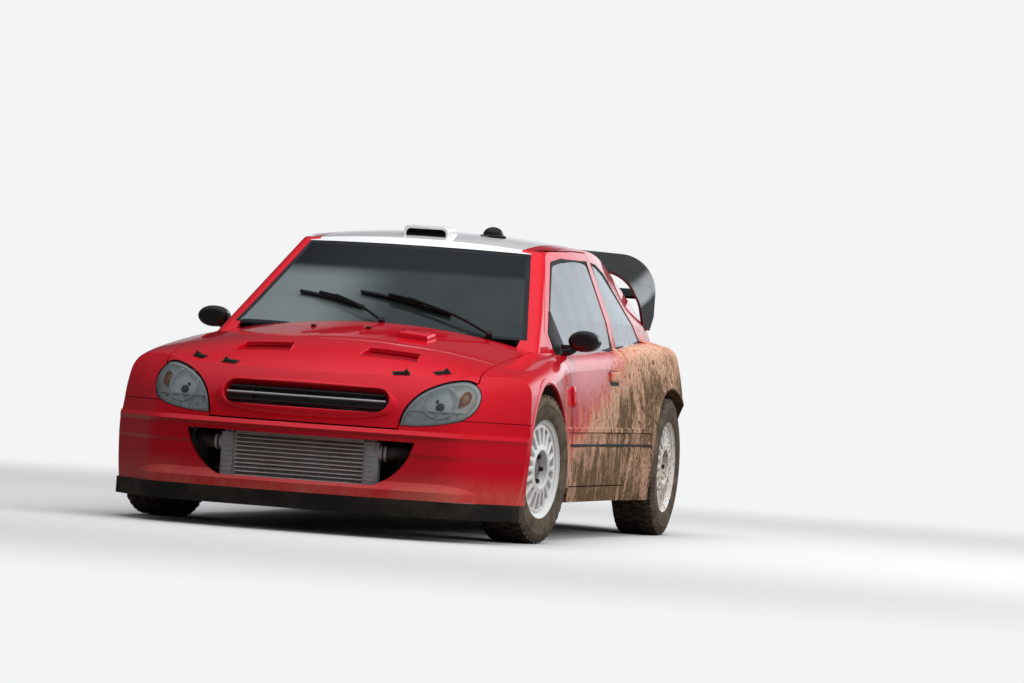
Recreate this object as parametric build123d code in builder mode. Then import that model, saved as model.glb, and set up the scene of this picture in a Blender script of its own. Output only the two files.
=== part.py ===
# Rally hatchback: three doors, steered front wheels, opening doors, hood and tailgate.
# Front is -Y, the car's left is +X, the ground is Z = 0, and lengths are in millimetres.
from build123d import *
import os

os.makedirs("parts", exist_ok=True)

# Driving sizes
AXLE_F, AXLE_R = -1240, 1315
HUB_Z = 314
TYRE_R, TYRE_HALF, RIM_R = 314, 103, 208
WHEEL_X = 772
KING_X = 715
REST_STEER = 8
ARCH_R, LINER_R = 356, 366
GAP = 6
DOOR_T, PILLAR_T, SKIN_T = 60, 36, 14
DOOR_F, DOOR_R = -590, 628
HINGE_X, HINGE_Y = 822, -552
TUBE_R, PIN_R, HUB_R = 19, 12, 30

# Lower body: y, sill half-width, hip half-width, hip height, shoulder half-width, shoulder z, crown z
HULL = (
    (-2150, 820, 840, 380, 812, 470, 560),
    (-1900, 832, 850, 410, 826, 560, 655),
    (-1640, 850, 876, 450, 850, 654, 756),
    (-1265, 858, 882, 500, 860, 712, 826),
    (-940, 852, 874, 480, 838, 752, 868),
    (-660, 828, 840, 470, 804, 776, 892),
    (0, 816, 830, 460, 790, 796, 912),
    (600, 824, 838, 470, 790, 820, 935),
    (960, 846, 868, 490, 800, 838, 950),
    (1660, 856, 882, 510, 806, 850, 950),
    (2150, 796, 826, 450, 760, 780, 885),
)

# Outline seen from above: z, nose y, front corner x and y, side start y, tail y
OUTLINE = (
    (100, -2010, 640, -1900, -1560, 2083),
    (440, -2000, 640, -1885, -1560, 2083),
    (520, -1985, 635, -1862, -1550, 2083),
    (580, -1958, 630, -1826, -1530, 2078),
    (650, -1900, 610, -1770, -1490, 2068),
    (720, -1815, 580, -1690, -1420, 2050),
    (850, -1600, 570, -1480, -1270, 2005),
    (990, -1350, 560, -1230, -1050, 1900),
)

# Front bumper seen from above: z, nose y, corner x and y, side start y
BUMPER = (
    (164, -2060, 640, -1946, -1604),
    (236, -2054, 640, -1942, -1602),
    (336, -2046, 640, -1934, -1598),
    (350, -2050, 640, -1938, -1600),
    (412, -2044, 640, -1932, -1594),
    (428, -2054, 640, -1940, -1600),
    (446, -2036, 640, -1924, -1588),
)

# The bumper's lower lip, in the same columns
LIP = (
    (164, -2085, 640, -1968, -1612),
    (200, -2083, 640, -1966, -1612),
    (234, -2056, 640, -1943, -1602),
)

# Glasshouse seen from above: z, screen centre y, front corner x and y, side x, rear corner x and y, tail y
GLASSHOUSE = (
    (720, -1098, 738, -968, 768, 705, 1905, 2030),
    (950, -692, 654, -566, 706, 640, 1740, 1850),
    (1330, -64, 504, 58, 550, 484, 1002, 1084),
)

# Roof crown: y, centre z, edge z at 880 mm from the centre
CROWN = (
    (-1250, 1160, 1060),
    (-100, 1270, 1170),
    (350, 1306, 1206),
    (800, 1298, 1198),
    (2150, 1150, 1050),
)


def hull(d):
    """The lower body, drawn in by d all round."""
    with BuildPart() as b:
        for y, sill, hip, hip_z, sh, sh_z, crown in HULL:
            with BuildSketch(Plane.XZ.offset(-y)) as s:
                with BuildLine():
                    a, m, t = (sill - d, 130 + d), (hip - d, hip_z), (sh - d, sh_z - d * 0.6)
                    Line((-a[0], a[1]), a)
                    ThreePointArc(a, m, t)
                    ThreePointArc(t, (0, crown - d), (-t[0], t[1]))
                    ThreePointArc((-t[0], t[1]), (-m[0], m[1]), (-a[0], a[1]))
                make_face()
                fillet(s.vertices().group_by(Axis.Y)[-1], 90 - d * 0.4)
        loft()
    return b.part


def outline(d):
    """A block that trims the nose and tail, drawn in by d."""
    with BuildPart() as b:
        for z, nose, cx, cy, side, tail in OUTLINE:
            with BuildSketch(Plane.XY.offset(z)) as s:
                w, ty = 905 - d, tail - 90 - d
                with BuildLine():
                    ThreePointArc((-cx + d / 2, cy + d), (0, nose + d), (cx - d / 2, cy + d))
                    Polyline((cx - d / 2, cy + d), (w, side + d), (w, 1500), (620, ty))
                    ThreePointArc((620, ty), (0, tail - d), (-620, ty))
                    Polyline((-620, ty), (-w, 1500), (-w, side + d), (-cx + d / 2, cy + d))
                make_face()
                fillet(s.vertices().filter_by_position(Axis.Y, cy + d - 1, cy + d + 1), 230)
                fillet(s.vertices().filter_by_position(Axis.Y, 1499, 1501), 300)
                fillet(s.vertices().filter_by_position(Axis.Y, ty - 1, ty + 1), 150)
        loft()
    return b.part


def bumper_block(d, rows, half=905):
    """The front bumper's outline block, drawn in by d."""
    with BuildPart() as b:
        for z, nose, cx, cy, side in rows:
            with BuildSketch(Plane.XY.offset(z)) as s:
                w = half - d
                with BuildLine():
                    ThreePointArc((-cx + d / 2, cy + d), (0, nose + d), (cx - d / 2, cy + d))
                    Polyline((cx - d / 2, cy + d), (w, side + d), (w, -1200), (-w, -1200),
                             (-w, side + d), (-cx + d / 2, cy + d))
                make_face()
                fillet(s.vertices().filter_by_position(Axis.Y, cy + d - 1, cy + d + 1), 230)
        loft(ruled=True)
    return b.part


def glasshouse(d):
    """Cabin top above the belt, drawn in by d, with its crowned roof."""
    with BuildPart() as b:
        for z, fc, fx, fy, sx, rx, ry, rc in GLASSHOUSE:
            with BuildSketch(Plane.XY.offset(z)) as s:
                f, r = (fx - d, fy + d), (rx - d, ry - d)
                with BuildLine():
                    ThreePointArc((-f[0], f[1]), (0, fc + d), f)
                    ThreePointArc(f, (sx - d, (fy + ry) / 2), r)
                    ThreePointArc(r, (0, rc - d), (-r[0], r[1]))
                    ThreePointArc((-r[0], r[1]), (-sx + d, (fy + ry) / 2), (-f[0], f[1]))
                make_face()
                fillet(s.vertices(), 60 - d * 0.5)
        loft(ruled=True)
        with BuildPart(mode=Mode.INTERSECT):
            for y, zc, ze in CROWN:
                with BuildSketch(Plane.XZ.offset(-y)):
                    with BuildLine():
                        ThreePointArc((-880, ze - d), (0, zc - d), (880, ze - d))
                        Polyline((880, ze - d), (880, 400), (-880, 400), (-880, ze - d))
                    make_face()
            loft()
    return b.part


def arch(radius, x0, x1, y):
    """A cylinder across the car at an axle, for wheel arches."""
    with BuildPart() as b:
        with BuildSketch(Plane.YZ.offset(x0)):
            with Locations((y, HUB_Z)):
                Circle(radius)
        extrude(amount=x1 - x0)
    return b.part


def tube(points, radius):
    """A round tube through a row of points, in straight runs."""
    with BuildPart() as b:
        for p, q in zip(points, points[1:]):
            start, way = Vector(*p), Vector(*q) - Vector(*p)
            with BuildSketch(Plane(start, z_dir=way)):
                Circle(radius)
            extrude(amount=way.length)
        for p in points[1:-1]:
            with Locations(p):
                Sphere(radius)
    return b.part


# Shared shapes: the outer skin, the cabin's inside and the walls between them
LOWER, GLASS0 = hull(0) & outline(0), glasshouse(0)
INNER, CORE = hull(SKIN_T) & outline(SKIN_T), hull(DOOR_T) & outline(DOOR_T)
SHELL = (LOWER + GLASS0) - (CORE + glasshouse(PILLAR_T))
SKIN = LOWER - INNER
GLASS_BAND = glasshouse(4) - glasshouse(10)

# Panel outlines, in the view each is cut from
HOOD_LINE = ((0, -2300), (398, -2300), (398, -1948), (446, -1920), (551, -1850), (636, -1770),
             (668, -1700), (664, -1610), (672, -1340), (684, -1000), (692, -900), (610, -925),
             (420, -1010), (220, -1078), (0, -1104))
HOOD_FULL = HOOD_LINE + tuple((-x, y) for x, y in HOOD_LINE[-2:0:-1])
SCREEN_LINE = ((-648, -764), (-330, -852), (0, -884), (330, -852), (648, -764), (498, -140),
               (0, -232), (-498, -140))
DOOR_LINE = ((DOOR_F, 236), (DOOR_F, 890), (-92, 1222), (-50, 1240), (300, 1252), (560, 1252),
             (DOOR_R, 1180), (DOOR_R, 560), (612, 440), (586, 320), (560, 236))
DOOR_WINDOW = ((-556, 792), (-550, 882), (-66, 1196), (100, 1216), (540, 1218), (566, 826))
QUARTER_WINDOW = ((655, 832), (634, 1214), (760, 1206), (900, 1172), (1352, 872))
REAR_WINDOW = ((-430, 1232), (0, 1252), (430, 1232), (532, 1610), (0, 1660), (-532, 1610))
TAIL_LINE = ((-440, 1160), (440, 1160), (512, 1240), (612, 1660), (650, 1800), (660, 2300),
             (-660, 2300), (-650, 1800), (-612, 1660), (-512, 1240))
ROOF_LINE = ((-452, -230), (0, -292), (452, -230), (468, 300), (452, 1150), (-452, 1150),
             (-468, 300))


def zone(points, gap, plane, start, length):
    """A panel's outline, moved out by gap, as a prism."""
    with BuildPart() as b:
        with BuildSketch(plane.offset(start)):
            Polygon(*points, align=None)
            if gap:
                offset(amount=gap, kind=Kind.INTERSECTION)
        extrude(amount=length)
    return b.part


def block(x0, x1, y0, y1, z0, z1):
    """A plain box between limits."""
    with BuildPart() as b:
        with Locations(((x0 + x1) / 2, (y0 + y1) / 2, (z0 + z1) / 2)):
            Box(x1 - x0, y1 - y0, z1 - z0)
    return b.part


def panel(base, keep, *drops):
    """The part of a wall inside one zone and outside the others."""
    with BuildPart() as b:
        add(keep)
        for drop in drops:
            add(drop, mode=Mode.SUBTRACT)
        add(base, mode=Mode.INTERSECT)
    return b.part


def finish(name, shape, twin=False):
    """Label and write one piece, with its mirror image when twin."""
    if twin:
        shape = Compound(children=[*shape.solids(), *mirror(shape, about=Plane.YZ).solids()])
    shape.label = name
    export_step(shape, f"parts/{name}.step")
    return shape


def lamp_zone(gap):
    """The left headlamp's outline, moved out by gap, through the nose."""
    with BuildPart() as b:
        with BuildSketch(Plane.XZ.offset(1480)):
            with BuildLine():
                ThreePointArc((406, 462), (434, 556), (520, 632))
                ThreePointArc((520, 632), (568, 652), (618, 662))
                ThreePointArc((618, 662), (676, 640), (697, 584))
                ThreePointArc((697, 584), (676, 524), (624, 489))
                ThreePointArc((624, 489), (520, 468), (406, 462))
            make_face()
            if gap:
                offset(amount=gap, kind=Kind.INTERSECTION)
        extrude(amount=560)
    return b.part


LAMP, LAMP_GAP = lamp_zone(0), lamp_zone(5)
LAMP_GAPS = [LAMP_GAP, mirror(LAMP_GAP, about=Plane.YZ)]
SCREEN = zone(SCREEN_LINE, 0, Plane.XY, 700, 620)
WINDOWS = [zone(QUARTER_WINDOW, 0, Plane.YZ, 0, 1000), SCREEN]
ROOF = zone(ROOF_LINE, 0, Plane.XY, 1100, 300)
TAIL = zone(TAIL_LINE, 0, Plane.XY, 476, 900)
TAIL_GAP = zone(TAIL_LINE, 5, Plane.XY, 470, 910)

# Hood: the top skin from the nose to the cowl, with the grille slot and two vents
with BuildPart() as slot:
    with BuildSketch(Plane.XZ.offset(1800)):
        with Locations((0, 556)):
            SlotOverall(700, 96)
    extrude(amount=300)
    for side in (1, -1):
        with BuildSketch(Plane.XY.offset(650)):
            Polygon((side * 148, -1686), (side * 392, -1668), (side * 376, -1544),
                    (side * 162, -1562), align=None)
        extrude(amount=300)
hood = finish("hood", panel(SKIN, zone(HOOD_FULL, 0, Plane.XY, 452, 700), *LAMP_GAPS, slot.part))

# Grille: plain bars in a curved frame on the back of the hood's nose
with BuildPart() as grille:
    with BuildSketch(Plane.XZ.offset(1700)):
        with Locations((0, 556)):
            SlotOverall(744, 140)
            SlotOverall(688, 84, mode=Mode.SUBTRACT)
        for z in (532, 556, 580):
            with Locations((0, z)):
                Rectangle(700, 6)
        for x in (-230, 0, 230):
            with Locations((x, 556)):
                Rectangle(8, 92)
    extrude(amount=400)
    add(INNER, mode=Mode.INTERSECT)
    add(hull(26) & outline(26), mode=Mode.SUBTRACT)
finish("grille", grille.part)

# Headlamps: lens and bowl as one solid each side
finish("headlamps", panel(SKIN, LAMP), twin=True)

# Front fenders: skin from the bumper back to the doors
front_fenders = finish("front_fenders", panel(
    SKIN, block(0, 1000, -2300, DOOR_F - GAP, 230, 1000),
    block(0, 1000, -2300, -1240, 0, 449), block(390, 1000, -2300, -1300, 0, 500),
    zone(HOOD_FULL, 5, Plane.XY, 440, 700), LAMP,
    block(0, 692, -1120, -500, 400, 1100), block(0, 800, -1700, -500, 100, 400),
    arch(ARCH_R, 0, 1000, AXLE_F)) - GLASS0, twin=True)

# Front bumper: a sloped ledge over the cooler opening and a lip that flares out below
INSIDE = ((100, -2062, 640, -1948, -1604), (430, -2040, 640, -1928, -1592))
DECK = ((390, -2052, 640, -1940, -1600), (500, -2036, 640, -1926, -1590))
with BuildPart() as front_bumper:
    add(bumper_block(0, BUMPER) & hull(0))
    add(bumper_block(0, LIP, 870))
    add(block(-1000, 1000, -1500, -1100, 100, 500), mode=Mode.SUBTRACT)
    add(arch(ARCH_R, -1000, 1000, AXLE_F), mode=Mode.SUBTRACT)
    with BuildSketch(Plane.XZ.offset(1850)):
        with BuildLine():
            Line((-482, 398), (482, 398))
            ThreePointArc((482, 398), (434, 290), (330, 214))
            Line((330, 214), (-330, 214))
            ThreePointArc((-330, 214), (-434, 290), (-482, 398))
        make_face()
    extrude(amount=400, mode=Mode.SUBTRACT)
    add(bumper_block(75, DECK), mode=Mode.SUBTRACT)
    add(bumper_block(16, INSIDE) & hull(SKIN_T), mode=Mode.SUBTRACT)
    for lamp in (LAMP, mirror(LAMP, about=Plane.YZ)):
        add(lamp, mode=Mode.SUBTRACT)
strip = panel(SKIN, block(404, 1000, -2300, -1480, 440, 497), LAMP,
              zone(HOOD_FULL, 5, Plane.XY, 440, 700), arch(ARCH_R, 0, 1000, AXLE_F))
nose = finish("front_bumper", front_bumper.part + strip + mirror(strip, about=Plane.YZ))

# Skirt: the upright strip under the bumper
with BuildPart() as front_skirt:
    add(bumper_block(0, ((96, -2085, 660, -1975, -1600), (164, -2085, 660, -1975, -1600))))
    add(bumper_block(10, ((90, -2085, 660, -1975, -1600), (170, -2085, 660, -1975, -1600))),
        mode=Mode.SUBTRACT)
    add(block(-868, 868, -2300, -1590, 90, 170), mode=Mode.INTERSECT)
finish("front_skirt", front_skirt.part)

# Intercooler behind the bumper opening
with BuildPart() as intercooler:
    with Locations((0, -1955, 300)):
        Box(540, 60, 190)
    for x in (-302, 302):
        with Locations((x, -1955, 300)):
            Box(64, 72, 200)
finish("intercooler", intercooler.part)

# Cowl panel between hood and windscreen
cowl = panel(SKIN, block(-686, 686, -1114, -640, 700, 1100),
             zone(HOOD_FULL, 6, Plane.XY, 440, 700)) - GLASS0
finish("cowl_panel", cowl.solids().sort_by(SortBy.VOLUME)[-1])

# Windscreen, quarter windows and rear window
finish("windscreen", panel(GLASS_BAND, zone(SCREEN_LINE, 0, Plane.XY, 700, 620)) - LOWER)
finish("quarter_windows", panel(GLASS_BAND, zone(QUARTER_WINDOW, 0, Plane.YZ, 0, 1000)),
       twin=True)
finish("rear_glass", panel(GLASS_BAND, zone(REAR_WINDOW, 0, Plane.XY, 800, 600)))

# Side frames: pillars, roof rails, quarters and sills
DOOR_GAP = zone(DOOR_LINE, 5, Plane.YZ, 0, 1000)
rear_half = panel(SHELL, block(0, 1000, DOOR_F, 2300, 166, 1400), DOOR_GAP, *WINDOWS, ROOF, TAIL_GAP,
                  block(0, 1000, 1700, 2300, 100, 476), arch(ARCH_R, 0, 1000, AXLE_R),
                  block(0, 700, -700, 2100, 0, 500), block(672, 900, 1776, 2300, 596, 774))
pillar = panel(SHELL, block(0, 1000, -1100, DOOR_F, 600, 1400), DOOR_GAP, SCREEN,
               block(0, 620, -1100, -600, 600, 900)) - LOWER
finish("side_frames", rear_half + pillar, twin=True)

# Roof panel
finish("roof_panel", panel(SHELL, ROOF, SCREEN, TAIL_GAP))

# Doors: full thickness, window cut, with a pocket round each hinge
with BuildPart() as pockets:
    for z in (330, 620):
        with Locations((HINGE_X, HINGE_Y, z)):
            Cylinder(15, 60)
        with Locations((HINGE_X - 40, HINGE_Y - 18, z)):
            Box(84, 60, 60)
door = panel(SHELL, zone(DOOR_LINE, 0, Plane.YZ, 0, 1000), zone(DOOR_WINDOW, 0, Plane.YZ, 0, 1000),
             ROOF, pockets.part)
pane = panel(GLASS_BAND, zone(DOOR_WINDOW, 0, Plane.YZ, 0, 1000))
with BuildPart() as door_mirror:
    with BuildSketch(Plane.XZ.offset(-24)):
        Ellipse(68, 46)
    extrude(amount=70)
    fillet(door_mirror.edges().group_by(Axis.Y)[0], 26)
    with BuildSketch(Plane.YZ.offset(-98)):
        with Locations((-6, -30)):
            Rectangle(44, 22)
    extrude(amount=70)
wing_mirror = Pos(830, -440, 860) * door_mirror.part - SHELL
for name, shape in (("door", door), ("door_window", pane), ("mirror", wing_mirror)):
    finish(f"{name}_left", shape)
    finish(f"{name}_right", mirror(shape, about=Plane.YZ))

# Door hinges: knuckle on the axis, arm to the pillar behind the fender
with BuildPart() as hinges:
    for z in (330, 620):
        with Locations((HINGE_X, HINGE_Y, z)):
            Cylinder(10, 44)
        with Locations((HINGE_X - 31, HINGE_Y - 1, z)):
            Box(62, 8, 20)
        with Locations((HINGE_X - 58, HINGE_Y - 32, z)):
            Box(10, 62, 20)
    add(block(690, 773, -648, -608, 200, 740))
finish("hinge_pillars", hinges.part, twin=True)

# Tailgate: hatch from the roof to the bumper with its window cut
tailgate = finish("tailgate", panel(SHELL, TAIL, zone(REAR_WINDOW, 0, Plane.XY, 800, 600)))

# Rear bumper
finish("rear_bumper", panel(SKIN, block(-1000, 1000, 1500, 2300, 180, 469),
                            block(-1000, 1000, 1500, 1700, 0, 600),
                            block(-480, -380, 1900, 2300, 100, 262)))

# Rear wing: one bent blade whose ends turn down, a lower blade and two struts
def bent(d, low):
    """The wing's rounded outline from front to back edge, drawn in by d."""
    with BuildPart() as b:
        for y, half, top in ((1490, 650, 1206), (1650, 658, 1246), (1800, 662, 1290)):
            with BuildSketch(Plane.XZ.offset(-y)):
                with BuildLine():
                    w, t, r = half - d, top - d, 170 - d
                    Line((-w, low), (w, low))
                    Line((w, low), (w, t - r - 14))
                    ThreePointArc((w, t - r - 14), (w - r * 0.3, t - r * 0.3 - 12), (w - r, t - 10))
                    ThreePointArc((w - r, t - 10), (0, t), (-w + r, t - 10))
                    ThreePointArc((-w + r, t - 10), (-w + r * 0.3, t - r * 0.3 - 12),
                                  (-w, t - r - 14))
                    Line((-w, t - r - 14), (-w, low))
                make_face()
        loft()
    return b.part


with BuildPart() as rear_wing:
    add(bent(0, 900))
    add(bent(12, 880), mode=Mode.SUBTRACT)
    add(zone(((1480, 1100), (1480, 1400), (1820, 1400), (1812, 1010), (1730, 932), (1610, 950)),
             0, Plane.YZ, -800, 1600), mode=Mode.INTERSECT)
    with BuildSketch(Plane.YZ.offset(-652)):
        Polygon((1640, 1086), (1790, 1122), (1794, 1110), (1644, 1074), align=None)
    extrude(amount=1304)
    for x in (-300, 288):
        with BuildSketch(Plane.YZ.offset(x)):
            Polygon((1560, 1214), (1720, 1258), (1750, 900), (1640, 920), align=None)
        extrude(amount=12)
finish("rear_wing", rear_wing.part - GLASS0 - LOWER)

# Tail lamps in the rear corners
finish("tail_lamps", panel(SKIN, block(672, 900, 1776, 2300, 596, 774)), twin=True)

# Roof vent and aerial dome
with BuildPart() as roof_vent:
    with BuildSketch(Plane.YZ.offset(-100)):
        Polygon((-60, 1240), (-60, 1312), (-46, 1320), (60, 1326), (230, 1306), (230, 1240),
                align=None)
    extrude(amount=200)
    fillet(roof_vent.edges().filter_by(Axis.Y, tolerance=20).group_by(Axis.Z)[-1], 22)
    with BuildSketch(Plane.YZ.offset(-84)):
        Polygon((-70, 1284), (-70, 1308), (40, 1312), (40, 1284), align=None)
    extrude(amount=168, mode=Mode.SUBTRACT)
finish("roof_vent", roof_vent.part - GLASS0)

with BuildPart() as roof_dome:
    with Locations((232, 250, 1284)):
        Sphere(50)
finish("roof_dome", roof_dome.part - GLASS0)

# Floor pan: floor, firewall, wheel housings, front rails and the deck over the rear axle
with BuildPart() as floor_pan:
    add(block(-700, 700, -892, 950, 172, 200))
    for x in (-1, 1):
        add(block(min(x * 690, x * 773), max(x * 690, x * 773), -648, -608, 172, 200))
        add(block(min(x * 400, x * 460), max(x * 400, x * 460), -1895, -868, 446, 500))
        add(block(min(x * 404, x * 460), max(x * 404, x * 460), -1915, -1895, 446, 460))
        add(block(x * 302 - 20, x * 302 + 20, -1919, -1885, 330, 480))
    add(block(-400, 400, -1905, -1885, 446, 480))
    add(block(-600, 600, -892, -868, 172, 900) & INNER)
    add(block(-600, 600, 936, 950, 172, 694))
    add(block(-600, 600, 936, 1850, 680, 694))
    for x in (-1, 1):
        for y, wall in ((AXLE_F, INNER), (AXLE_R, CORE)):
            x0, x1 = min(x * 580, x * 950), max(x * 580, x * 950)
            add((arch(LINER_R + 6, x0, x1, y) - arch(LINER_R, x0 - 5, x1 + 5, y)) & wall)
            add(block(min(x * 575, x * 1000), max(x * 575, x * 1000), y - 380, y + 380, 0, 220),
                mode=Mode.SUBTRACT)
finish("floor_pan", floor_pan.part - nose)

# Sump guard, engine and exhaust
with BuildPart() as sump_guard:
    with BuildSketch(Plane.YZ.offset(-330)):
        Polygon((-1960, 190), (-1880, 150), (-900, 150), (-900, 162), (-1880, 162),
                (-1956, 200), align=None)
    extrude(amount=660)
finish("sump_guard", sump_guard.part)

with BuildPart() as engine_block:
    with Locations((0, -1360, 435)):
        Box(640, 420, 390)
finish("engine_block", engine_block.part)
finish("exhaust", tube(((-150, -700, 142), (-150, 1450, 142), (-430, 1750, 215),
                        (-430, 2050, 215)), 30))

# Inside: dashboard, seats, steering wheel and roll cage
with BuildPart() as dashboard:
    with BuildSketch(Plane.YZ.offset(-560)):
        Polygon((-868, 640), (-868, 770), (-600, 790), (-480, 760), (-470, 640), align=None)
    extrude(amount=1120)
finish("dashboard", dashboard.part)

with BuildPart() as seats:
    for x in (-360, 360):
        with BuildSketch(Plane.YZ.offset(x - 230)):
            Polygon((-140, 230), (-160, 360), (-60, 350), (230, 300), (330, 620), (400, 960),
                    (460, 950), (400, 560), (300, 220), align=None)
        extrude(amount=460)
        with BuildSketch(Plane.YZ.offset(x - 200)):
            Polygon((-170, 340), (-60, 322), (205, 272), (300, 620), (372, 960), (300, 1000),
                    (-200, 400), align=None)
        extrude(amount=400, mode=Mode.SUBTRACT)
        for rail in (x - 170, x + 150):
            add(block(rail, rail + 20, -100, 270, 200, 232))
finish("seats", seats.part)

with BuildPart() as steering_wheel:
    with BuildSketch(Plane((360, -330, 760), z_dir=(0, -1, -0.35))):
        Circle(165)
        Circle(138, mode=Mode.SUBTRACT)
        Rectangle(290, 30)
        Circle(40)
    extrude(amount=12, both=True)
    with BuildSketch(Plane((360, -330, 760), z_dir=(0, -1, -0.35))):
        Circle(22)
    extrude(amount=190)
finish("steering_wheel", steering_wheel.part - dashboard.part)

with BuildPart() as roll_cage:
    for side in (-1, 1):
        add(tube(((side * 600, 560, 200), (side * 600, 560, 800), (side * 470, 560, 1180)),
                 TUBE_R))
        add(tube(((side * 470, 560, 1180), (side * 430, -60, 1170), (side * 590, -640, 830),
                  (side * 590, -640, 200)), TUBE_R))
        add(tube(((side * 470, 560, 1180), (side * 540, 1150, 760), (side * 540, 1150, 694)),
                 TUBE_R))
    add(tube(((-470, 560, 1180), (470, 560, 1180)), TUBE_R))
    add(tube(((-430, -60, 1170), (430, -60, 1170)), TUBE_R))
    add(tube(((-600, 560, 300), (470, 560, 1180)), TUBE_R))
finish("roll_cage", roll_cage.part)

# Suspension: struts, arms and kingpins that stay with the body, and the rear stubs
with BuildPart() as front_suspension:
    add(block(-640, 640, AXLE_F - 30, AXLE_F + 30, 680, 700))
    for x in (-1000, 575):
        add(arch(LINER_R + 6, x, x + 425, AXLE_F), mode=Mode.SUBTRACT)
    with Locations((0, AXLE_F, 222)):
        Box(960, 90, 36)
    for x in (-1, 1):
        with Locations((x * 500, AXLE_F, 442)):
            Cylinder(30, 476)
        with Locations((x * 250, AXLE_F, 183)):
            Box(60, 60, 42)
        for arm, pin in ((234, 259), (394, 369)):
            with Locations((x * 590, AXLE_F, arm)):
                Box(250, 40, 16)
            with Locations((x * KING_X, AXLE_F, arm)):
                Cylinder(20, 16)
            with Locations((x * KING_X, AXLE_F, pin)):
                Cylinder(PIN_R, 50)
finish("front_suspension", front_suspension.part)

with BuildPart() as rear_suspension:
    with Locations((0, AXLE_R, 300)):
        Box(1100, 80, 60)
    for x in (-1, 1):
        with Locations((x * 500, AXLE_R, 495)):
            Cylinder(30, 370)
        add(arch(150, x * 700 - 20, x * 700 + 20, AXLE_R))
        add(arch(HUB_R - 0.08, x * 666 - 126, x * 666 + 126, AXLE_R))
finish("rear_suspension", rear_suspension.part)

# Wheel and tyre at the origin, outer face toward +X: a barrel, a coned face with ribs between
# the slots, and a sunk hub with its nut holes
RIBS, NUTS, NUT_RING, NUT_HOLE = 18, 5, 54, 7.5
with BuildPart() as rim:
    with BuildSketch(Plane.XY):
        Polygon((-94, 186), (-94, 206), (-86, 206), (-80, 190), (80, 190), (86, 206), (94, 206),
                (94, 198), (84, 182), (40, 176), (-84, 180), align=None)
    revolve(axis=Axis.X)
    with BuildSketch(Plane.XY):
        Polygon((36, 179), (62, 90), (62, 76), (26, 72), (26, HUB_R), (12, HUB_R), (12, 82), (46, 92),
                (22, 179), align=None)
    revolve(axis=Axis.X)
    with BuildSketch(Plane.YZ):
        with PolarLocations(0, RIBS):
            Polygon((100, -9), (170, -19), (170, 19), (100, 9), align=None)
    extrude(amount=80, mode=Mode.SUBTRACT)
    with BuildSketch(Plane.YZ):
        with PolarLocations(NUT_RING, NUTS):
            Circle(NUT_HOLE)
    extrude(amount=40, mode=Mode.SUBTRACT)
with BuildPart() as tyre:
    with BuildSketch(Plane.XY):
        with BuildLine():
            Line((-84, 192), (84, 192))
            ThreePointArc((84, 192), (TYRE_HALF, 252), (92, 300))
            ThreePointArc((92, 300), (86, 309), (74, TYRE_R - 1))
            ThreePointArc((74, TYRE_R - 1), (0, TYRE_R), (-74, TYRE_R - 1))
            ThreePointArc((-74, TYRE_R - 1), (-86, 309), (-92, 300))
            ThreePointArc((-92, 300), (-TYRE_HALF, 252), (-84, 192))
        make_face()
    revolve(axis=Axis.X)
TYRE = tyre.part - rim.part

# Knuckle with disc and stub, turning on the kingpins
with BuildPart() as knuckle:
    with BuildSketch(Plane.YZ.offset(-30)):
        Circle(150)
    extrude(amount=18)
    with BuildSketch(Plane.YZ.offset(-85)):
        Rectangle(90, 130)
    extrude(amount=55)
    with BuildSketch(Plane.YZ.offset(-30)):
        Circle(HUB_R - 0.08)
    extrude(amount=50)
    for z in (-46.5, 46.5):
        with Locations((KING_X - WHEEL_X, 0, z)):
            Cylinder(PIN_R + 0.08, 37, mode=Mode.SUBTRACT)


def placed(shape, side, y, steer):
    """A wheel piece moved to its corner; the front ones turned by the rest steer."""
    if side < 0:
        shape = mirror(shape, about=Plane.YZ)
    if not steer:
        return Pos(side * WHEEL_X, y, HUB_Z) * shape
    turn = Pos(side * KING_X, y, HUB_Z) * Rot(0, 0, -steer)
    return turn * Pos(side * (WHEEL_X - KING_X), 0, 0) * shape


for name, side, y, steer in (("front_left", 1, AXLE_F, REST_STEER),
                             ("front_right", -1, AXLE_F, REST_STEER),
                             ("rear_left", 1, AXLE_R, 0), ("rear_right", -1, AXLE_R, 0)):
    pieces = {"rim": rim.part, "tyre": TYRE}
    if steer:
        pieces["knuckle"] = knuckle.part
    for kind, shape in pieces.items():
        finish(f"{kind}_{name}", placed(shape, side, y, steer))
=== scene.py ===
import math

import bmesh
import bpy
import numpy
from mathutils import Matrix, Vector
from mathutils.bvhtree import BVHTree


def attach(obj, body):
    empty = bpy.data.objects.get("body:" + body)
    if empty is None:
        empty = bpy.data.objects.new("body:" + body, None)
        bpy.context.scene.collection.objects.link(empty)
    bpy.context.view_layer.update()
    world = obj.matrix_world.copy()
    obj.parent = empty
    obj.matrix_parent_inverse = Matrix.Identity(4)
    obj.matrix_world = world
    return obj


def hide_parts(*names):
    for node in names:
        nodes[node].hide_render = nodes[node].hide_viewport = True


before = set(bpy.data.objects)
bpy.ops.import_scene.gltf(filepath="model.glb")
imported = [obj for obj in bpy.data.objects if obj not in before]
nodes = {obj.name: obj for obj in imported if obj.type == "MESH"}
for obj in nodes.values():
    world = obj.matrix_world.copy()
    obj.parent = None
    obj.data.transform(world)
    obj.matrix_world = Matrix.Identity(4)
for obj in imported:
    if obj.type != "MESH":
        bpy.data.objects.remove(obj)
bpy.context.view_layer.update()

# Camera: a long lens low in front of the car, on its left side, with the roll of the photograph.
# It was solved from the wheels, lamps, screen and arches.
def add_object(name, data):
    made = bpy.data.objects.new(name, data)
    bpy.context.scene.collection.objects.link(made)
    return made


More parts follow.
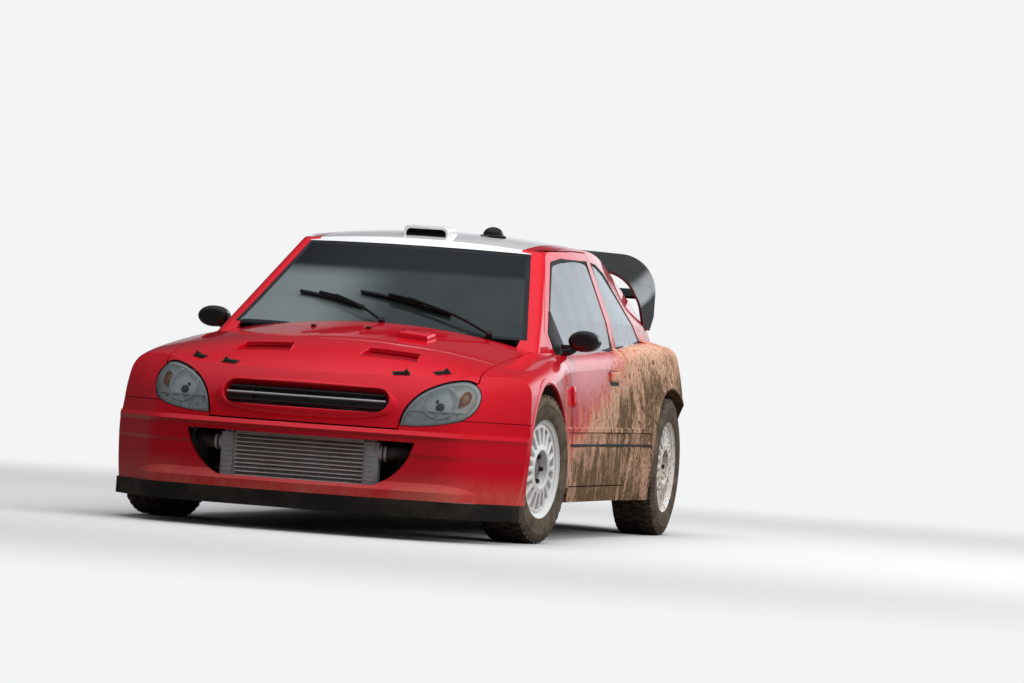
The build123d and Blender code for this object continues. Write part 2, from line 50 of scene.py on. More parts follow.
azimuth, elevation, roll = math.radians(13.71), math.radians(0.31), math.radians(3.99)
back = Vector((math.sin(azimuth) * math.cos(elevation), -math.cos(azimuth) * math.cos(elevation),
               math.sin(elevation)))
level = Vector((0, 0, 1)).cross(back).normalized()
upright = back.cross(level)
camera = add_object("camera", bpy.data.cameras.new("camera"))
picture_width, focal_pixels, sensor_width, distance = 1024, 6467, 36, 28.5
camera.data.lens = focal_pixels / picture_width * sensor_width
camera.data.shift_x, camera.data.shift_y = 92.1 / picture_width, 25.1 / picture_width
camera.data.clip_end = 300
turned = Matrix((level * math.cos(roll) + upright * math.sin(roll),
                 upright * math.cos(roll) - level * math.sin(roll), back)).transposed()
camera.matrix_world = Matrix.Translation(Vector((0, 0, 0.7)) + back * distance) @ turned.to_4x4()
bpy.context.scene.camera = camera
bpy.context.scene.view_settings.view_transform = "Standard"


# Studio: a pale floor that fades into a pale room, a broad panel overhead, one on the left and one
# in front. The floor is matt, so that only the car's own shadow shows on it.
def link(nt, source, target):
    nt.links.new(source, target)


def math_node(nt, kind, a, b=0.0):
    """A Math node; a and b are numbers or sockets."""
    node = nt.nodes.new("ShaderNodeMath")
    node.operation = kind
    for socket, value in zip(node.inputs, (a, b)):
        if isinstance(value, (int, float)):
            socket.default_value = value
        else:
            link(nt, value, socket)
    return node.outputs[0]


def times(nt, first, *others):
    """The product of numbers or sockets."""
    for other in others:
        first = math_node(nt, "MULTIPLY", first, other)
    return first


def plus(nt, a, b):
    return math_node(nt, "ADD", a, b)


def ramp(nt, value, low, high, to=(0.0, 1.0)):
    """Runs smoothly between the two results as value goes from low to high."""
    node = nt.nodes.new("ShaderNodeMapRange")
    node.interpolation_type = "SMOOTHSTEP"
    link(nt, value, node.inputs["Value"])
    node.inputs["From Min"].default_value, node.inputs["From Max"].default_value = low, high
    node.inputs["To Min"].default_value, node.inputs["To Max"].default_value = to
    return node.outputs[0]


def blend_colour(nt, amount, a, b):
    """Mixes two colours or colour sockets by amount."""
    node = nt.nodes.new("ShaderNodeMix")
    node.data_type = "RGBA"
    for socket, value in zip((node.inputs[0], node.inputs[6], node.inputs[7]), (amount, a, b)):
        if isinstance(value, float):
            socket.default_value = value
        elif isinstance(value, tuple):
            socket.default_value = (*value, 1)
        else:
            link(nt, value, socket)
    return node.outputs[2]


def split(nt, vector):
    """The x, y and z sockets of a vector."""
    part = nt.nodes.new("ShaderNodeSeparateXYZ")
    link(nt, vector, part.inputs[0])
    return part.outputs


def mix_shader(nt, share, a, b):
    """Lays shader b over shader a by share."""
    mix = nt.nodes.new("ShaderNodeMixShader")
    for socket, source in zip(mix.inputs, (share, a, b)):
        link(nt, source, socket)
    return mix.outputs[0]


def mesh_of(name, shape):
    mesh = bpy.data.meshes.new(name)
    mesh.from_pydata([tuple(v) for v in shape[0]], [], shape[1])
    return mesh


def room():
    """A white backdrop for the camera, a soft sky for light, and bright haze behind for shine."""
    world = bpy.data.worlds.new("room")
    bpy.context.scene.world = world
    world.use_nodes = True
    nt = world.node_tree
    sky = nt.nodes["Background"]
    x, y, z = split(nt, nt.nodes.new("ShaderNodeTexCoord").outputs["Generated"])
    link(nt, blend_colour(nt, ramp(nt, z, 0.15, 0.95), (0.050, 0.050, 0.050), (0.66, 0.70, 0.74)),
         sky.inputs["Color"])
    slope = math_node(nt, "SUBTRACT", z, times(nt, x, 0.6))
    haze = times(nt, ramp(nt, z, 0.0, 0.10), ramp(nt, slope, 0.34, 0.14),
                 ramp(nt, y, 0.15, 0.85, (0.07, 1.05)))
    shine = nt.nodes.new("ShaderNodeBackground")
    top = blend_colour(nt, ramp(nt, z, 0.55, 1.0), (0.045, 0.05, 0.055), (0.34, 0.38, 0.43))
    glow = nt.nodes.new("ShaderNodeVectorMath")
    glow.operation = "MULTIPLY_ADD"
    link(nt, haze, glow.inputs[0])
    glow.inputs[1].default_value = (0.92, 0.98, 1.04)
    link(nt, top, glow.inputs[2])
    link(nt, glow.outputs[0], shine.inputs["Color"])
    white = nt.nodes.new("ShaderNodeBackground")
    white.inputs["Color"].default_value = (0.90, 0.905, 0.91, 1)
    path = nt.nodes.new("ShaderNodeLightPath")
    first = mix_shader(nt, path.outputs["Is Glossy Ray"], sky.outputs[0], shine.outputs[0])
    last = mix_shader(nt, path.outputs["Is Camera Ray"], first, white.outputs[0])
    link(nt, last, nt.nodes["World Output"].inputs[0])


def floor():
    mesh = mesh_of("floor", ([(-40, -40, 0), (40, -40, 0), (40, 40, 0), (-40, 40, 0)], [(0, 1, 2, 3)]))
    plane = add_object("floor", mesh)
    surface = bpy.data.materials.new("floor")
    surface.use_nodes = True
    nt = surface.node_tree
    matt = nt.nodes["Principled BSDF"]
    path = nt.nodes.new("ShaderNodeLightPath")
    link(nt, blend_colour(nt, path.outputs["Is Camera Ray"], (0.13, 0.11, 0.095), (0.64, 0.637, 0.634)),
         matt.inputs["Base Color"])
    matt.inputs["Roughness"].default_value = 0.9
    reach = nt.nodes.new("ShaderNodeVectorMath")
    reach.operation = "LENGTH"
    link(nt, nt.nodes.new("ShaderNodeTexCoord").outputs["Object"], reach.inputs[0])
    clear = nt.nodes.new("ShaderNodeBsdfTransparent")
    fade = mix_shader(nt, ramp(nt, reach.outputs["Value"], 3.4, 8.0), matt.outputs[0], clear.outputs[0])
    link(nt, fade, nt.nodes["Material Output"].inputs[0])
    mesh.materials.append(surface)


def panel_light(name, place, aim, size, power):
    lamp = bpy.data.lights.new(name, "AREA")
    lamp.shape, lamp.size, lamp.size_y, lamp.energy = "RECTANGLE", *size, power
    holder = add_object(name, lamp)
    holder.visible_glossy = False
    holder.matrix_world = Matrix.Translation(place) @ (
        (Vector(aim) - Vector(place)).to_track_quat("-Z", "Y").to_matrix().to_4x4())


room()
floor()
panel_light("sky_panel", (0.8, 0.6, 6.0), (0, 0, 0.6), (6.5, 8.0), 430)
panel_light("left_panel", (7.0, -1.6, 4.0), (0.4, 0, 0.7), (5.0, 4.0), 300)
panel_light("front_panel", (1.5, -9.0, 3.0), (0, -1.0, 0.5), (6.0, 3.0), 32)


# Red panels: pressed steel and composite skins in a deep gloss red, clean on top and on the nose,
# with thrown mud over the sides from the doors back, and dust along the lower edges.
def finish_material(name, colour, rough=0.5, metal=0.0, coat=0.0):
    """A new material with its plain values set; returns material, tree and shader."""
    made = bpy.data.materials.new(name)
    made.use_nodes = True
    nt = made.node_tree
    shader = nt.nodes["Principled BSDF"]
    for name, value in (("Base Color", (*colour, 1)), ("Roughness", rough), ("Metallic", metal),
                        ("Coat Weight", coat), ("Coat Roughness", 0.03)):
        shader.inputs[name].default_value = value
    made.diffuse_color = (*colour, 1)
    return made, nt, shader


def coords(nt, stretch=(1, 1, 1), turn=(0, 0, 0)):
    where = nt.nodes.new("ShaderNodeTexCoord")
    if stretch == (1, 1, 1) and turn == (0, 0, 0):
        return where.outputs["Object"]
    mapping = nt.nodes.new("ShaderNodeMapping")
    mapping.inputs["Scale"].default_value = stretch
    mapping.inputs["Rotation"].default_value = turn
    link(nt, where.outputs["Object"], mapping.inputs[0])
    return mapping.outputs[0]


def texture(nt, kind, scale, stretch=(1, 1, 1), turn=(0, 0, 0)):
    """A texture node on the car's own coordinates."""
    node = nt.nodes.new("ShaderNodeTex" + kind)
    node.inputs["Scale"].default_value = scale
    link(nt, coords(nt, stretch, turn), node.inputs["Vector"])
    return node


def grain(nt, scale, detail=4.0, stretch=(1, 1, 1), turn=(0, 0, 0), rough=0.55, warp=0.0):
    noise = texture(nt, "Noise", scale, stretch, turn)
    for name, value in (("Detail", detail), ("Roughness", rough), ("Distortion", warp)):
        noise.inputs[name].default_value = value
    return noise.outputs["Fac"]


def bump(nt, shader, height, strength, distance):
    node = nt.nodes.new("ShaderNodeBump")
    node.inputs["Strength"].default_value, node.inputs["Distance"].default_value = strength, distance
    link(nt, height, node.inputs["Height"])
    link(nt, node.outputs[0], shader.inputs["Normal"])


def tinge(nt, shader, amount, a, b):
    """A base colour that runs from a to b by amount."""
    link(nt, blend_colour(nt, amount, a, b), shader.inputs["Base Color"])


def mud_masks(nt, reach):
    """Thrown dirt by place on the car: returns the dust film, the wet mud and the specks."""
    x, y, z = split(nt, coords(nt))
    side = ramp(nt, math_node(nt, "ABSOLUTE", x), 0.60, 0.76)
    line = nt.nodes.new("ShaderNodeMapRange")
    link(nt, y, line.inputs["Value"])
    for socket, value in zip(("From Min", "From Max", "To Min", "To Max"), (-0.62, 0.95, 0.47, 1.00)):
        line.inputs[socket].default_value = value
    below = math_node(nt, "SUBTRACT", line.outputs[0], z)
    thrown = times(nt, ramp(nt, below, -0.20, 0.34), side, ramp(nt, y, -1.0, -0.75))
    tail = times(nt, ramp(nt, y, 1.72, 2.05), ramp(nt, z, 1.0, 0.4, (0.0, 0.75)))
    dirt = times(nt, math_node(nt, "MAXIMUM", thrown, tail), reach)
    streak = grain(nt, 13.0, 9.0, (1, 1.3, 0.42), (0.5, 0, 0), 0.70, 0.25)
    broad = grain(nt, 3.4, 8.0, (1, 1, 0.7), (0.4, 0, 0), 0.66, 0.3)
    fine = grain(nt, 88.0, 3.0, (1, 1.2, 0.55), (0.5, 0, 0), 0.5)
    here = ramp(nt, dirt, 0.02, 0.25)
    uneven = times(nt, math_node(nt, "SUBTRACT", streak, 0.5), 1.7)
    patch = times(nt, math_node(nt, "SUBTRACT", broad, 0.5), 1.5)
    film = times(nt, ramp(nt, plus(nt, dirt, uneven), 0.15, 0.75), here)
    sill = times(nt, ramp(nt, z, 0.30, 0.15, (0.0, 0.42)), ramp(nt, broad, 0.25, 0.7), reach)
    film = math_node(nt, "MAXIMUM", film, sill)
    wet = plus(nt, plus(nt, dirt, patch), times(nt, uneven, 0.8))
    wet = times(nt, ramp(nt, wet, 0.74, 1.12), here)
    dots = plus(nt, fine, times(nt, dirt, 0.10))
    return film, wet, times(nt, ramp(nt, dots, 0.66, 0.70), here)


def dirty(nt, shader, base, rough, coat, reach=1.0, cover=0.86):
    """Lays the dirt over a base colour, and dulls the shine where it lies."""
    film, wet, dots = mud_masks(nt, reach)
    dry_mud, wet_mud, speck = (0.60, 0.42, 0.29), (0.165, 0.108, 0.060), (0.060, 0.035, 0.020)
    colour = blend_colour(nt, times(nt, film, cover), base, dry_mud)
    tinge(nt, shader, dots, blend_colour(nt, wet, colour, wet_mud), speck)
    dull = math_node(nt, "MAXIMUM", math_node(nt, "MAXIMUM", film, wet), dots)
    link(nt, ramp(nt, dull, 0.0, 1.0, (rough, 0.88)), shader.inputs["Roughness"])
    link(nt, ramp(nt, dull, 0.0, 0.7, (coat, 0.0)), shader.inputs["Coat Weight"])
    bump(nt, shader, plus(nt, times(nt, wet, 0.7), dots), 0.5, 0.002)


def dress(material, *names):
    """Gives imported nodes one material."""
    for name in names:
        nodes[name].data.materials.clear()
        nodes[name].data.materials.append(material)


gloss_red, nt, shader = finish_material("gloss_red", (0.66, 0.002, 0.014), 0.32, coat=1.0)
shader.inputs["Specular IOR Level"].default_value = 0.12
cloud = ramp(nt, grain(nt, 1.6, 3.0), 0.3, 0.7)
dirty(nt, shader, blend_colour(nt, cloud, (0.62, 0.001, 0.011), (0.70, 0.003, 0.018)), 0.32, 1.0)
dress(gloss_red, "hood", "front_fenders", "front_bumper", "cowl_panel", "side_frames", "rear_bumper",
      "tailgate", "door_left", "door_right", "hinge_pillars")


# White roof skin, and the plain white paint that the cage, the vent and the wheels share.
# Its gloss is a little dulled by road dust.
def white_paint(name, reach, cover=0.8):
    made, nt, shader = finish_material(name, (0.82, 0.82, 0.80), 0.3, coat=0.8)
    soft = ramp(nt, grain(nt, 2.2, 5.0), 0.35, 0.75)
    dirty(nt, shader, blend_colour(nt, soft, (0.80, 0.80, 0.79), (0.86, 0.86, 0.85)), 0.3, 0.8,
          reach, cover=cover)
    return made


roof_white = white_paint("roof_white", 0.4)
dress(roof_white, "roof_panel", "roof_vent")


# Body edges: rolled lips round the four wheel arches, laid on the skins of the fenders, the bumper
# and the side frames. They are the same red composite as those panels.
def skin(*names):
    """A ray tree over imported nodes, so that a fitting can be seated on them."""
    corners, faces = [], []
    for name in names:
        start = len(corners)
        corners += [v.co.copy() for v in nodes[name].data.vertices]
        faces += [[start + i for i in f.vertices] for f in nodes[name].data.polygons]
    return BVHTree.FromPolygons(corners, faces)


def seat(tree, start, way):
    """Where a ray meets the skin, with the normal turned back along the ray."""
    point, normal, _, _ = tree.ray_cast(Vector(start), Vector(way))
    if point is None:
        return None
    return point, normal if normal.dot(Vector(way)) < 0 else -normal


def piece(name, shape, material, body, slot=None, smooth=40, replaced=()):
    """A finished piece from (corners, faces), shaded smooth up to an angle in degrees."""
    mesh = mesh_of(name, shape)
    tidy = bmesh.new()
    tidy.from_mesh(mesh)
    bmesh.ops.remove_doubles(tidy, verts=tidy.verts, dist=0.00002)
    bmesh.ops.recalc_face_normals(tidy, faces=tidy.faces)
    tidy.to_mesh(mesh)
    tidy.free()
    mesh.materials.append(material)
    mesh.shade_smooth()
    mesh.set_sharp_from_angle(angle=math.radians(smooth))
    made = add_object(name, mesh)
    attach(made, body)
    if replaced:
        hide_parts(*replaced)


def join(*shapes):
    """Several (corners, faces) shapes as one."""
    corners, faces = [], []
    for shape in shapes:
        start = len(corners)
        corners += list(shape[0])
        faces += [tuple(start + i for i in f) for f in shape[1]]
    return corners, faces


def mirrored(shape):
    """The shape's mirror image across the car's middle."""
    return ([Vector((-v[0], v[1], v[2])) for v in shape[0]], [tuple(reversed(f)) for f in shape[1]])


def pair(*shapes):
    """Shapes and their mirror images as one."""
    shape = join(*shapes)
    return join(shape, mirrored(shape))


def net(corners, width, closed=True, around=False):
    """Faces between rows of corners; closed joins a row's ends, around the last row to the first."""
    rows, faces = len(corners) // width, []
    for k in range(rows if around else rows - 1):
        here, there = k * width, (k + 1) % rows * width
        faces += [(here + q, here + (q + 1) % width, there + (q + 1) % width, there + q)
                  for q in range(width if closed else width - 1)]
    return corners, faces


def bar(corners, width):
    """Rows of corners joined into a solid, with both ends filled."""
    ends = [tuple(range(width - 1, -1, -1)), tuple(range(len(corners) - width, len(corners)))]
    return corners, net(corners, width)[1] + ends


def arch_lip(tree, side, axle, start, stop, radius=0.3575, steps=72):
    """A rolled lip round a wheel arch, its section laid along the skin's edge."""
    line, corners, out = [], [], Vector((side, 0, 0))
    for i in range(steps + 1):
        angle = math.radians(start + (stop - start) * i / steps)
        along, up = math.cos(angle), math.sin(angle)
        test_radius = radius + 0.009
        found = seat(tree, (side * 1.2, axle + test_radius * along, hub_height + test_radius * up), -out)
        if found:
            x = side * max(abs(found[0].x), 0.80)
            line.append(Vector((x, axle + radius * along, hub_height + radius * up)))
    section = ((0, -0.012), (0, 0.004), (0.0015, 0.0062), (0.006, 0.0066), (0.016, 0.0035),
               (0.024, -0.002), (0.024, -0.012))
    last = len(line) - 1
    for i, point in enumerate(line):
        way = line[min(i + 1, last)] - line[max(i - 1, 0)]
        across = way.normalized().cross(out).normalized() * side
        corners += [point + across * u + out * v for u, v in section]
    return bar(corners, len(section))


front_axle, rear_axle, hub_height = -1.240, 1.315, 0.314
panels = skin("front_fenders", "front_bumper", "side_frames", "rear_bumper")
for name, axle, start, stop in (("front", front_axle, -14, 196), ("rear", rear_axle, -14, 194)):
    lips = [arch_lip(panels, side, axle, start, stop) for side in (1, -1)]
    piece(f"arch_lips_{name}", join(*lips), gloss_red, "car", "body_paint")


# Wheels: 15 inch cast gravel wheels in white, a coned face with a ring of ribs, a sunk hub with five
# dark nuts, and block-tread tyres with dust worked into the rubber.
def repeat_tree():
    """Geometry Nodes: copies of a shape, each turned and moved on from the one before."""
    tree = bpy.data.node_groups.new("repeat", "GeometryNodeTree")
    for name, way, kind in (("Geometry", "INPUT", "Geometry"), ("Count", "INPUT", "Int"),
                            ("Turn", "INPUT", "Vector"), ("Step", "INPUT", "Vector"),
                            ("Finish", "INPUT", "Material"), ("Geometry", "OUTPUT", "Geometry")):
        tree.interface.new_socket(name, in_out=way, socket_type="NodeSocket" + kind)
    inside, points, index, copies, real, finish, out = (tree.nodes.new(kind) for kind in (
        "NodeGroupInput", "GeometryNodePoints", "GeometryNodeInputIndex", "GeometryNodeInstanceOnPoints",
        "GeometryNodeRealizeInstances", "GeometryNodeSetMaterial", "NodeGroupOutput"))
    for name, target in (("Step", points.inputs["Position"]), ("Turn", copies.inputs["Rotation"])):
        scale = tree.nodes.new("ShaderNodeVectorMath")
        scale.operation = "SCALE"
        link(tree, inside.outputs[name], scale.inputs[0])
        link(tree, index.outputs[0], scale.inputs["Scale"])
        link(tree, scale.outputs[0], target)
    for source, target in (
            (inside.outputs["Count"], points.inputs["Count"]), (points.outputs[0], copies.inputs["Points"]),
            (inside.outputs["Geometry"], copies.inputs["Instance"]), (copies.outputs[0], real.inputs[0]),
            (real.outputs[0], finish.inputs["Geometry"]), (finish.outputs[0], out.inputs[0]),
            (inside.outputs["Finish"], finish.inputs["Material"])):
        link(tree, source, target)
    return tree


repeat = repeat_tree()


def repeated(shape, count, material, turn=(0, 0, 0), step=(0, 0, 0)):
    """Runs the repeat tree on a shape and returns the result as (corners, faces)."""
    holder = add_object("one", mesh_of("one", shape))
    nodes_modifier = holder.modifiers.new("repeat", "NODES")
    nodes_modifier.node_group = repeat
    values = {"Count": count, "Turn": turn, "Step": step, "Finish": material}
    for item in repeat.interface.items_tree:
        if item.in_out == "INPUT" and item.name in values:
            nodes_modifier[item.identifier] = values[item.name]
    holder.update_tag()
    graph = bpy.context.evaluated_depsgraph_get()
    done = bpy.data.meshes.new_from_object(holder.evaluated_get(graph))
    made = ([v.co.copy() for v in done.vertices], [tuple(f.vertices) for f in done.polygons])
    bpy.data.objects.remove(holder)
    bpy.data.meshes.remove(done)
    return made


def polar(x, radius, angle):
    return Vector((x, radius * math.cos(angle), radius * math.sin(angle)))


def revolved(profile, steps=96, closed=True):
    """Spins (x, radius) pairs round the X axis."""
    corners = [polar(x, r, math.tau * i / steps) for i in range(steps) for x, r in profile]
    return net(corners, len(profile), closed, True)


def span(a, b, steps=24):
    """Points on a line from a to b."""
    return [(a[0] + (b[0] - a[0]) * i / steps, a[1] + (b[1] - a[1]) * i / steps)
            for i in range(steps + 1)]


def traced(points, steps):
    """A closed outline through points, with each side cut into equal steps."""
    return [p for i, a in enumerate(points) for p in span(a, points[(i + 1) % len(points)], steps)[:-1]]


def cone(radius):
    """The wheel face stands out towards the hub: x for a radius."""
    return 0.088 - (radius - 0.090) * 0.10 / 0.89


RIBS = 18


def rib_sector():
    """One slot of the wheel face with half a rib on each side."""
    half, inner, outer = math.pi / RIBS, 0.090, 0.1795
    border = traced(((inner, -half), (inner, half), (outer, half), (outer, -half)), 8)

    def slot_at(radius, angle, grow):
        """The slot's rounded outline at the same share of the way round."""
        t = (radius - inner) / (outer - inner) * 2 - 1
        a = angle / half
        size = max(abs(t), abs(a))
        t, a = t / size, a / size
        squeeze = 1 / (abs(t) ** 5 + abs(a) ** 5) ** 0.2
        t, a = t * squeeze, a * squeeze
        r = 0.1365 + t * (0.0345 + grow)
        width = 0.0085 + (r - 0.102) * 0.17 + grow
        return r, a * width

    corners = []
    for depth, grow in ((0.0012, None), (0.0010, 0.0035), (0.0, 0.0012), (-0.0022, 0.0), (-0.020, 0.0)):
        for radius, angle in border:
            if grow is None:
                y, z = radius * math.sin(angle), radius * math.cos(angle)
            else:
                z, y = slot_at(radius, angle, grow)
            corners.append(Vector((cone(math.hypot(y, z)) + depth, y, z)))
    return net(corners, len(border))


def moved(shape, matrix):
    return [matrix @ Vector(v) for v in shape[0]], shape[1]


def placed(shape, place, degrees=0, axis="Y"):
    """A shape turned about an axis, then moved."""
    return moved(shape, Matrix.Translation(place) @ Matrix.Rotation(math.radians(degrees), 4, axis))


def hex_nut(across, depth, x):
    return bar([polar(level_x, across * size, math.tau * i / 6)
                for level_x, size in ((x, 1.0), (x + depth * 0.85, 1.0), (x + depth, 0.86))
                for i in range(6)], 6)


def tread_block(x0, x1, start, stop, top, skew=0.0):
    """A rubber block between two widths and two angles, with eased edges."""
    corners = []
    for radius, grow in ((0.300, 0.0), (top - 0.0022, 0.0), (top, 0.0022)):
        for x, angle in ((x0 + grow, start), (x1 - grow, start), (x1 - grow, stop), (x0 + grow, stop)):
            lean = angle + skew * (x - (x0 + x1) / 2) / 0.1
            lean += grow / 0.31 * (1 if angle == start else -1)
            drop = 0.0016 * max(0.0, (abs(x) - 0.050) / 0.03)
            corners.append(polar(x, radius - drop, lean))
    return bar(corners, 4)


wheel_white = white_paint("wheel_white", 0.55, 0.55)
nut_steel, nt, shader = finish_material("nut_steel", (0.045, 0.043, 0.042), 0.42, 0.8)
bump(nt, shader, grain(nt, 240, 3), 0.25, 0.0004)
hub_grey, nt, shader = finish_material("hub_grey", (0.20, 0.20, 0.195), 0.55)
tinge(nt, shader, grain(nt, 60, 5), (0.12, 0.115, 0.11), (0.27, 0.265, 0.255))

rubber, nt, shader = finish_material("gravel_rubber", (0.05, 0.045, 0.04), 0.85)
dust = ramp(nt, grain(nt, 16, 7, rough=0.68), 0.30, 0.74)
tone = blend_colour(nt, dust, (0.052, 0.043, 0.035), (0.175, 0.130, 0.092))
tinge(nt, shader, ramp(nt, grain(nt, 130, 3), 0.60, 0.70), tone, (0.24, 0.18, 0.13))
bump(nt, shader, grain(nt, 170, 4), 0.35, 0.0012)

tread_rows = 46
pitch = math.tau / tread_rows
blocks = join(*[tread_block(x0, x1, shift * pitch, (shift + share) * pitch, 0.3136, skew)
                for x0, x1, shift, share, skew in (
                    (-0.091, -0.052, 0.02, 0.62, 0.02), (-0.047, -0.006, 0.42, 0.66, -0.05),
                    (0.000, 0.041, 0.06, 0.66, 0.05), (0.047, 0.091, 0.50, 0.62, -0.02))])
carcass = [(-0.080, 0.1925), (-0.088, 0.2035), (-0.0955, 0.2085), (-0.1005, 0.222), (-0.1015, 0.226),
           (-0.1022, 0.250), (-0.1012, 0.268), (-0.1024, 0.2715), (-0.1004, 0.276), (-0.0965, 0.292),
           (-0.092, 0.3000), (-0.084, 0.3035), (0.0, 0.3052)]
carcass += [(-x, r) for x, r in carcass[-2::-1]]
tyre_shape = join(revolved(carcass, 128), repeated(blocks, tread_rows, rubber, (pitch, 0, 0)))
barrel = [(0.0780, 0.1795), (0.0772, 0.1830), (0.0768, 0.1860), (0.0778, 0.1895), (0.0800, 0.1912),
          (0.0838, 0.1922), (0.0862, 0.1995), (0.0905, 0.2035), (0.0938, 0.2052), (0.0940, 0.2066),
          (0.0905, 0.2068), (0.0865, 0.2040), (0.081, 0.1925), (-0.081, 0.1925), (-0.0865, 0.2040),
          (-0.0905, 0.2068), (-0.0940, 0.2066), (-0.0938, 0.2040), (-0.084, 0.1860),
          (-0.040, 0.1780), (0.058, 0.1700), (0.058, 0.1765)]
hub = [(cone(0.090) + 0.0012, 0.090), (0.0908, 0.0855), (0.0902, 0.0800), (0.0870, 0.0765),
       (0.0590, 0.0715), (0.0562, 0.0690), (0.0562, 0.0300), (0.014, 0.0300), (0.014, 0.0800),
       (0.066, 0.0880)]
rim_shape = join(revolved(barrel, 108), revolved(hub, 72),
                 repeated(rib_sector(), RIBS, wheel_white, (math.tau / RIBS, 0, 0)))
washer = revolved([(0.0562, 0.0), (0.0562, 0.0135), (0.059, 0.0135), (0.059, 0.0)], 20)
nut = placed(join(hex_nut(0.0105, 0.020, 0.0562), washer), (0, 0.054, 0))
nuts = repeated(nut, 5, nut_steel, (math.tau / 5, 0, 0))
cap = revolved([(0.050, 0.0), (0.050, 0.0295), (0.064, 0.0285), (0.068, 0.024), (0.070, 0.012),
                (0.070, 0.0)], 40)
dish = revolved([(0.0565, 0.0695), (0.0568, 0.0300), (0.0564, 0.0300), (0.0561, 0.0695)], 64)
for corner, side, axle, steer in (("front_left", 1, front_axle, 8), ("front_right", -1, front_axle, 8),
                                  ("rear_left", 1, rear_axle, 0), ("rear_right", -1, rear_axle, 0)):
    place = Matrix.Translation((side * 0.715, axle, hub_height)) @ Matrix.Rotation(
        math.radians(-steer), 4, "Z") @ Matrix.Translation((side * 0.057, 0, 0)) @ Matrix.Diagonal(
        (side, 1, 1, 1))
    for name, shape, finish, slot, smooth, node in (
            ("rim", rim_shape, wheel_white, "rim_paint", 34, ("rim_" + corner,)),
            ("tyre", tyre_shape, rubber, "tyre_rubber", 34, ("tyre_" + corner,)),
            ("nuts", nuts, nut_steel, None, 30, ()), ("hub", join(cap, dish), hub_grey, None, 30, ())):
        piece(f"wheel_{name}_{corner}", moved(shape, place), finish, "wheel_" + corner, slot, smooth, node)


# Glazing: laminated screen and plastic side windows in a grey tint, with a mirror skin and a thin
# haze over it that thickens where mud is thrown, and a painted glare on the right of the screen.
def tinted(name, tint, haze, haze_colour, dirt=0.0, screen=False):
    """See-through glass: a tinted clear layer under a mirror skin, with a thin film of haze."""
    made = bpy.data.materials.new(name)
    made.use_nodes = True
    nt = made.node_tree
    nt.nodes.remove(nt.nodes["Principled BSDF"])
    clear = nt.nodes.new("ShaderNodeBsdfTransparent")
    clear.inputs["Color"].default_value = (*tint, 1)
    mirror = nt.nodes.new("ShaderNodeBsdfGlossy")
    mirror.inputs["Roughness"].default_value = 0.02
    mirror.inputs["Color"].default_value = (0.95, 0.97, 1.0, 1)
    fresnel = nt.nodes.new("ShaderNodeFresnel")
    fresnel.inputs["IOR"].default_value = 1.65
    out = mix_shader(nt, fresnel.outputs[0], clear.outputs[0], mirror.outputs[0])
    film = nt.nodes.new("ShaderNodeBsdfDiffuse")
    film.inputs["Color"].default_value = (*haze_colour, 1)
    cover = ramp(nt, grain(nt, 5, 5, (1, 1, 0.5)), 0.25, 0.85, (haze * 0.6, haze))
    if screen:
        x, y, z = split(nt, coords(nt))
        # Painted light: a paler film on the right of the screen near its top, a painted glare standing in
        # for the light seen on the glass there.
        pale = times(nt, ramp(nt, x, 0.05, -0.35, (0.0, 0.30)), ramp(nt, z, 1.14, 1.05))
        cover = times(nt, plus(nt, cover, pale), ramp(nt, z, 1.125, 1.10))
    if dirt:
        dust, _, specks = mud_masks(nt, dirt)
        cover = math_node(nt, "MAXIMUM", math_node(nt, "MAXIMUM", cover, times(nt, dust, 0.75)), specks)
    out = mix_shader(nt, cover, out, film.outputs[0])
    link(nt, out, nt.nodes["Material Output"].inputs[0])
    return made


screen_glass = tinted("screen_glass", (0.20, 0.235, 0.25), 0.06, (0.40, 0.46, 0.45), 0.0, True)
side_glass = tinted("side_glass", (0.30, 0.34, 0.36), 0.30, (0.74, 0.79, 0.83), 0.5)
dress(screen_glass, "windscreen")
dress(side_glass, "quarter_windows", "door_window_left", "door_window_right", "rear_glass")


# Headlamps: a clear lens in a thin dark seal over a silver bowl, with a round reflector, a divider
# bar, a small amber cup in the outer corner and a fluted lower part.
def arc(a, b, c, steps):
    """Points from a through b to just before c, along their circle."""
    d = 2 * (a[0] * (b[1] - c[1]) + b[0] * (c[1] - a[1]) + c[0] * (a[1] - b[1]))
    sa, sb, sc = (p[0] ** 2 + p[1] ** 2 for p in (a, b, c))
    u = (sa * (b[1] - c[1]) + sb * (c[1] - a[1]) + sc * (a[1] - b[1])) / d
    v = (sa * (c[0] - b[0]) + sb * (a[0] - c[0]) + sc * (b[0] - a[0])) / d
    size = math.hypot(a[0] - u, a[1] - v)
    start, middle, stop = (math.atan2(p[1] - v, p[0] - u) for p in (a, b, c))
    turn = (stop - start) % math.tau
    if (middle - start) % math.tau > turn:
        turn -= math.tau
    return [(u + size * math.cos(start + turn * i / steps),
             v + size * math.sin(start + turn * i / steps)) for i in range(steps)]


def powers(u, v):
    return [u ** i * v ** j for i in range(5) for j in range(5 - i)]


